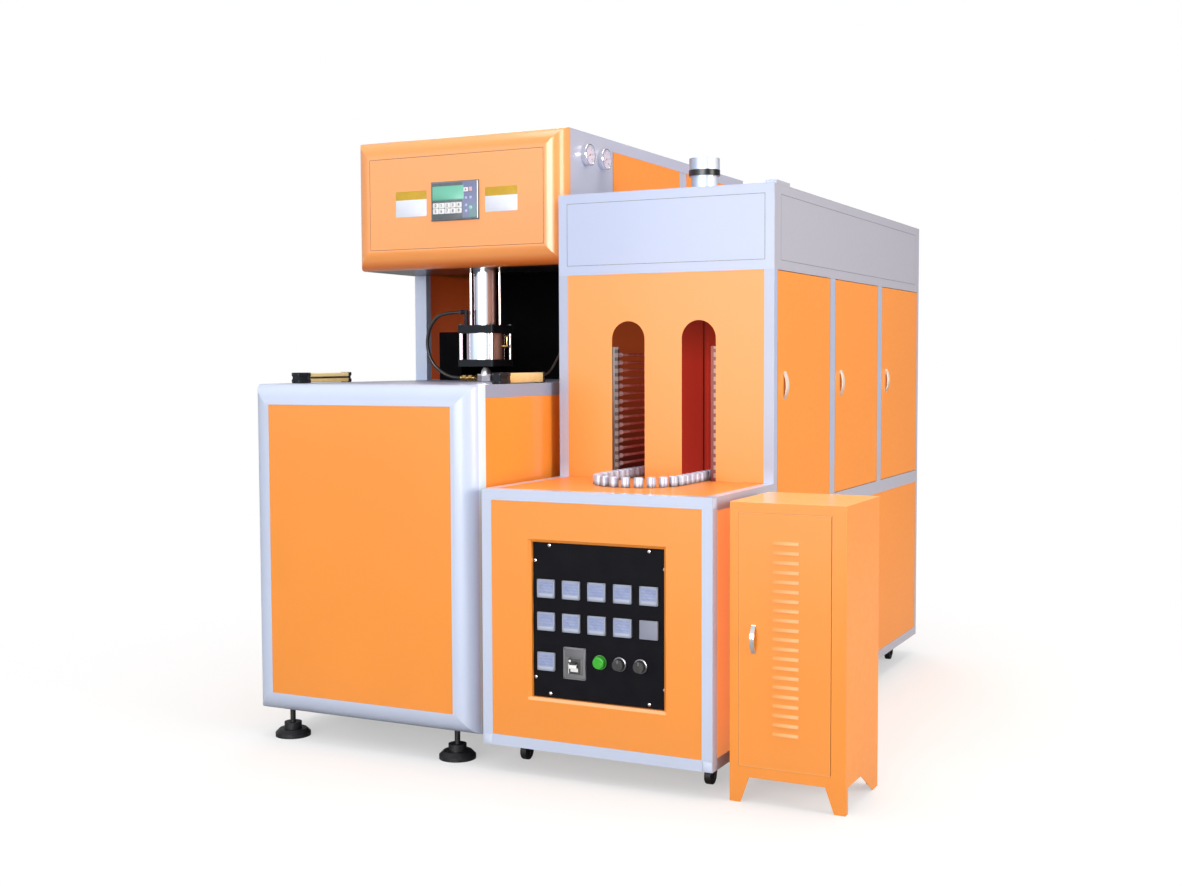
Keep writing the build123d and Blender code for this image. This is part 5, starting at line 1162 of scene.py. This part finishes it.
class PanelMeters(bpy.types.Operator):
    """Builds the faces of the square panel meters"""

    bl_idname = "blowset.panel_meters"
    bl_label = "Panel meters"

    def execute(self, context):
        bezel_grey = satin("meter_bezel", (0.33, 0.38, 0.50), 0.4, 600.0, 0.00004, 0.12, 0.3)
        cover_grey = satin("meter_cover", (0.42, 0.47, 0.58), 0.35, 600.0, 0.00003, 0.12, 0.3)
        dial = Finish("meter_dial", 0.35, 0.0, 0.2, 0.08)
        body = dial.cloudy((0.27, 0.33, 0.58), (0.35, 0.42, 0.64), 45.0, 3.0)
        lines = dial.read(
            "ShaderNodeTexWave", "Fac", {"wave_type": "BANDS", "bands_direction": "Z"},
            {"Vector": dial.place, "Scale": 32.0, "Distortion": 1.5},
        )
        dial.wear("Base Color", dial.tint(lines * 0.35, body, (0.20, 0.24, 0.44)))
        dial.bump(dial.noise(500.0, 1.0), 0.00002, 0.3)
        ink = flat_print("meter_ink", (0.10, 0.12, 0.20))

        places = [(x, z) for z in METER_ROWS for x in METER_COLUMNS] + [LONE_METER]
        blank = places.pop(9)
        bezels, dials, covers, marks = [], [], [], []
        for x, z in places:
            face = front_face(x, z, METER_FACE_Y)
            bezels.append((sink(plate(64.6, 61.6, 2.6, 1.6, 0.6, 3), 4.5, 1.3, 0.6), face))
            window = face @ Matrix.Translation((0, 4.5 * MM, 1.25 * MM))
            dials.append((plate(54.2, 42.0, 0.5, 0.8), window))
            cover = face @ Matrix.Translation((0, -21.6 * MM, 1.25 * MM))
            covers.append((plate(54.2, 9.6, 1.6, 0.8, 0.4, 2), cover))
            pivot = window @ Matrix.Translation((0, -17.0 * MM, 0.45 * MM))
            for step in range(21):
                angle = radians(140 - 5 * step)
                length = 4.4 if step % 5 == 0 else 2.4
                tick = pivot @ Matrix.Rotation(angle, 4, "Z")
                tick = tick @ Matrix.Translation(((31.0 - length / 2) * MM, 0, 0))
                marks.append((plate(length, 0.55, 0.2), tick))
            needle = pivot @ Matrix.Rotation(radians(134), 4, "Z")
            needle = needle @ Matrix.Translation((14.5 * MM, 0, 0.25 * MM))
            marks.append((plate(29.0, 0.7, 0.25), needle))
        several(bezels, "meter_bezels", bezel_grey)
        several(dials, "meter_dials", dial)
        several(covers, "meter_covers", cover_grey)
        several(marks, "meter_marks", ink)
        blank_grey = satin("blank_cover", (0.27, 0.29, 0.38), 0.45, 600.0, 0.00004, 0.05, 0.3)
        place = front_face(*blank, METER_FACE_Y)
        cover = plate(64.6, 61.6, 2.4, 1.6, 0.8, 3)
        single(cover, place, "blank_meter_cover", blank_grey)
        return {"FINISHED"}


class PanelControls(bpy.types.Operator):
    """Builds the breaker's frame and grip, the knobs' rings and marks, and the panel screws"""

    bl_idname = "blowset.panel_controls"
    bl_label = "Panel controls"

    def execute(self, context):
        breaker_grey = satin("breaker_grey", (0.115, 0.12, 0.135), 0.5, 500.0, 0.0001, 0.15)
        frame_grey = satin("breaker_frame_grey", (0.16, 0.165, 0.18), 0.45, 500.0, 0.0001, 0.15)
        dark = satin("breaker_slot_black", (0.012, 0.012, 0.014), 0.6)
        white = satin("grip_white", (0.88, 0.89, 0.90), 0.3, 700.0, 0.00003, 0.1)
        x, z, y = BREAKER_X, BREAKER_Z, BREAKER_FACE_Y
        surround = sink(plate(81.6, 106.6, 1.6, 2.0, 0.6, 3), 7.0, 0.9, 0.5)
        single(surround, front_face(x, z, y), "breaker_frame", frame_grey)
        body = [
            (plate(64.0, 30.0, 1.7, 1.0, 0.4, 3), front_face(x, z + 34.5, y)),
            (plate(64.0, 14.0, 1.7, 1.0, 0.4, 3), front_face(x, z - 42.5, y)),
            (plate(8.0, 52.0, 1.9, 1.0, 0.4, 3), front_face(x + 27.0, z - 8.5, y)),
            (plate(8.0, 52.0, 1.9, 1.0, 0.4, 3), front_face(x - 27.0, z - 8.5, y)),
        ]
        several(body, "breaker_body", breaker_grey)
        slot = plate(46.0, 52.0, 1.0, 1.5, 0.2, 3)
        single(slot, front_face(x, z - 9.0, y), "breaker_slot", dark)
        stud = turned([(0, 0), (4.2, 0), (4.2, 1.6), (3.4, 2.4), (0, 2.5)], 20)
        trims = [
            (plate(1.6, 34.0, 1.9, 0.4), front_face(x - 20.5, z - 17.0, y - 0.6)),
            (stud, front_face(x - 16.5, z + 8.0, y - 0.6)),
        ]
        several(trims, "breaker_trims", white)
        grip = plate(28.0, 13.0, 5.0, 1.6, 1.2, 4)
        place = front_face(x, z - 8.0, y - 12.2)
        single(grip, place, "breaker_grip", white, "breaker_toggle")
        apron = plate(28.0, 12.5, 1.9, 1.0, 0.4, 3)
        single(apron, front_face(x, z - 21.0, y), "breaker_apron", white)
        screws = []
        head = [(0, 0), (2.7, 0), (2.7, 0.8), (2.0, 1.4), (0, 1.5)]
        for dx in (-33.5, 33.5):
            for dz in (-46.0, 46.0):
                screws.append((turned(head, 20), front_face(x + dx, z + dz, y - 0.8)))
        zinc = bright_metal("screw_zinc", (0.88, 0.89, 0.92), 0.28)
        several(screws, "breaker_screws", frame_grey)

        silver = bright_metal("knob_ring_silver", (0.26, 0.27, 0.29), 0.30)
        rings = []
        ring = [(19.6, 0), (24.5, 0), (24.5, 2.0), (23.4, 4.6), (21.0, 5.6), (19.6, 5.0), (19.6, 0)]
        for _, knob_x in KNOBS:
            rings.append((turned(ring, 48), front_face(knob_x, KNOB_Z, PLATE_FACE_Y)))
        several(rings, "knob_rings", silver)
        mark_white = flat_print("pointer_white", (0.30, 0.30, 0.32))
        for body_name, knob_x in KNOBS:
            pointer = front_face(knob_x, KNOB_Z + 11.0, -1298.2)
            name = f"{body_name}_pointer"
            single(plate(1.8, 11.0, 0.3, 0.6), pointer, name, mark_white, body_name)

        radius = context.scene.blow_sizes.screw
        head = [(0, 0), (radius, 0), (radius, 0.9), (radius * 0.8, 1.8), (radius * 0.4, 2.2), (0, 2.3)]
        heads = [(turned(head, 24), front_face(*spot, PLATE_FACE_Y)) for spot in PANEL_SCREWS]
        several(heads, "panel_screws", zinc)
        slots = []
        for number, spot in enumerate(PANEL_SCREWS):
            face = front_face(*spot, PLATE_FACE_Y - 2.1)
            for quarter in (0, 90):
                turn = Matrix.Rotation(radians(quarter + 17 * number), 4, "Z")
                slots.append((plate(radius * 1.1, radius * 0.22, 0.25), face @ turn))
        several(slots, "panel_screw_crosses", dark)
        return {"FINISHED"}


class HeadFittings(bpy.types.Operator):
    """Builds the small fittings of the sealing head, the cylinders and the hoses"""

    bl_idname = "blowset.head_fittings"
    bl_label = "Head fittings"

    def execute(self, context):
        brass = bright_metal("valve_brass", (0.78, 0.52, 0.20), 0.20)
        black = satin("fitting_black", (0.016, 0.016, 0.018), 0.4)

        collet = [(7.3, 0), (10.5, 0), (10.5, 5.0), (9.4, 7.5), (7.3, 8.5), (7.3, 0)]
        elbow = left_face(-440.0, 1592.0, -738.5)
        single(turned(collet, 32), elbow, "elbow_collet", black, "seal_head")
        collet = [(7.3, 0), (10.0, 0), (10.0, 6.0), (8.8, 8.0), (7.3, 8.4), (7.3, 0)]
        union = left_face(-400.0, 1324.0, -762.2)
        single(turned(collet, 32), union, "union_collet", brass)
        barrel_end = back_face(-209.5, 1338.0, -742.6)
        single(prism(6, 13.0, 7.0, 1.0), barrel_end, "feed_nut", brass)
        gland = [
            (4.2, 0), (11.0, 0), (11.0, 3.0), (9.0, 4.0), (9.0, 10.0), (6.0, 14.0), (4.2, 14.5), (4.2, 0),
        ]
        column_face = front_face(-209.5, 1555.0, -200.1)
        single(turned(gland, 32), column_face, "feed_gland", black)

        nuts = []
        for x in (-723.5, -577.5):
            for y in (-473.0, -327.0):
                nuts.append((prism(6, 17.0, 5.0, 1.2), top_face(x, y, 1538.0)))
        several(nuts, "seal_nuts", black, "seal_head")

        tap = [(0, 0), (5.0, 0), (5.0, 9.0), (8.0, 9.5), (8.0, 17.0), (5.5, 18.0), (5.5, 24.0), (0, 24.5)]
        knob = [(0, 0), (4.5, 0), (5.5, 2.0), (5.5, 9.0), (3.5, 11.0), (0, 11.0)]
        parts = [
            (turned(tap, 28), right_face(-400.0, 1453.0, -573.5)),
            (plate(7.0, 46.0, 3.0, 2.5, 0.8, 4), right_face(-400.0, 1473.5, -551.5)),
            (turned(knob, 24), right_face(-400.0, 1493.0, -556.5)),
        ]
        several(parts, "chamber_tap", brass, "seal_head")

        screws = []
        socket = [(1.7, 0.3), (1.7, 2.4), (3.3, 2.4), (3.3, 0), (0, 0), (0, 0.3), (1.7, 0.3)]
        for x in LOCK_XS:
            for dx in (-14.0, 14.0):
                for dz in (-14.0, 14.0):
                    screws.append((turned(socket, 20), front_face(x + dx, LOCK_Z + dz, -1071.0)))
        several(screws, "lock_screws", black, "lock_rods")
        left_band = right_face(-882.2, LOCK_Z, LOCK_XS[0] + 12.2)
        right_band = left_face(-882.2, LOCK_Z, LOCK_XS[1] - 12.2)
        bands = [(plate(243.0, 7.4, 3.5, 0.0, 0.4), place) for place in (left_band, right_band)]
        several(bands, "lock_bands", black)
        return {"FINISHED"}


class SeamsAndPlugs(bpy.types.Operator):
    """Draws the seams of head and hood, plugs the open tubes and lays pale strips of painted light over the
    cabinet door's gaps
    """

    bl_idname = "blowset.seams"
    bl_label = "Seams and plugs"

    def execute(self, context):
        brown = flat_print("head_seam", (0.12, 0.035, 0.01))
        grey = flat_print("hood_seam", (0.12, 0.14, 0.15))

        def seam_frame(width, height, face):
            """Four thin strips that lie in a groove 2 mm wide and 0.8 mm deep."""
            strips = []
            for sign in (-1, 1):
                along = face @ Matrix.Translation((0, sign * (height - 2) / 2 * MM, 0))
                strips.append((plate(width - 0.2, 1.8, 0.5), along))
                upright = face @ Matrix.Translation((sign * (width - 2) / 2 * MM, 0, 0))
                strips.append((plate(1.8, height - 4.2, 0.5), upright))
            return strips

        head = seam_frame(796.0, 363.0, front_face(-650.5, 2019.5, HEAD_FACE_Y + 0.8))
        several(head, "head_seam", brown)
        hood = seam_frame(772.0, 229.0, front_face(282.5, 1854.5, -729.2))
        hood += seam_frame(1894.0, 229.0, right_face(285.0, 1854.5, 701.7))
        several(hood, "hood_seams", grey)

        plug_white = satin("plug_white", (0.56, 0.63, 0.80), 0.4, 500.0, 0.00005, 0.1)
        tube_ends = []
        for x in (-119.0, 684.0):
            tube_ends += [front_face(x, 107.5, -1296.0), back_face(x, 107.5, 1296.0)]
        tube_ends += [right_face(-1281.5, 943.5, 698.5), left_face(-1281.5, 943.5, -133.5)]
        plugs = [(plate(PLUG_WIDTH, PLUG_WIDTH, 4.0, 2.0, 0.8), tube_end) for tube_end in tube_ends]
        several(plugs, "tube_plugs", plug_white)

        # Painted light: pale orange strips lie over the cabinet door's gaps, in place of their shade
        gap_light_orange = satin("gap_light_orange", (1.0, 0.50, 0.20), 0.5, 500.0, 0.00008, 0.1, 0.2)
        trims = [
            (plate(300.0, 1.7, 3.0), front_face(928.5, 917.5, CABINET_SEAM_Y)),
            (plate(300.0, 1.7, 3.0), front_face(928.5, 117.5, CABINET_SEAM_Y)),
            (plate(1.7, 801.4, 3.0), front_face(779.0, 517.5, CABINET_SEAM_Y)),
        ]
        several(trims, "cabinet_door_gap_light", gap_light_orange, "cabinet_door")
        hinge_side = front_face(1079.2, 517.5, CABINET_SEAM_Y)
        single(plate(1.2, 796.0, 2.5), hinge_side, "cabinet_hinge_gap_light", gap_light_orange)
        return {"FINISHED"}


OPERATORS = (
    SetCamera,
    AirHoses,
    StudioStage,
    PaintedMetal,
    OperatorDisplay,
    BlankPlates,
    PressureDials,
    PanelMeters,
    PanelControls,
    HeadFittings,
    SeamsAndPlugs,
)


class SetPanel(bpy.types.Panel):
    """Lists the set's colours, sizes and building steps"""

    bl_idname = "BLOWSET_PT_steps"
    bl_label = "Blow moulding set"
    bl_space_type = "VIEW_3D"
    bl_region_type = "UI"
    bl_category = "Blow moulding"

    def draw(self, context):
        column = self.layout.column()
        for group in (context.scene.blow_colours, context.scene.blow_sizes):
            for name in group.__annotations__:
                column.prop(group, name)
        for operator in OPERATORS:
            column.operator(operator.bl_idname)


CLASSES = (SetColours, SetSizes, *OPERATORS, SetPanel)


def register():
    """Makes the set's classes known to Blender."""
    for one in CLASSES:
        bpy.utils.register_class(one)
    bpy.types.Scene.blow_colours = PointerProperty(type=SetColours)
    bpy.types.Scene.blow_sizes = PointerProperty(type=SetSizes)


def unregister():
    """Takes the set's classes out again."""
    del bpy.types.Scene.blow_sizes
    del bpy.types.Scene.blow_colours
    for one in reversed(CLASSES):
        bpy.utils.unregister_class(one)


def main():
    """Builds the whole scene."""
    register()
    for operator in OPERATORS:
        group, name = operator.bl_idname.split(".")
        getattr(getattr(bpy.ops, group), name)()


if __name__ == "__main__":
    main()
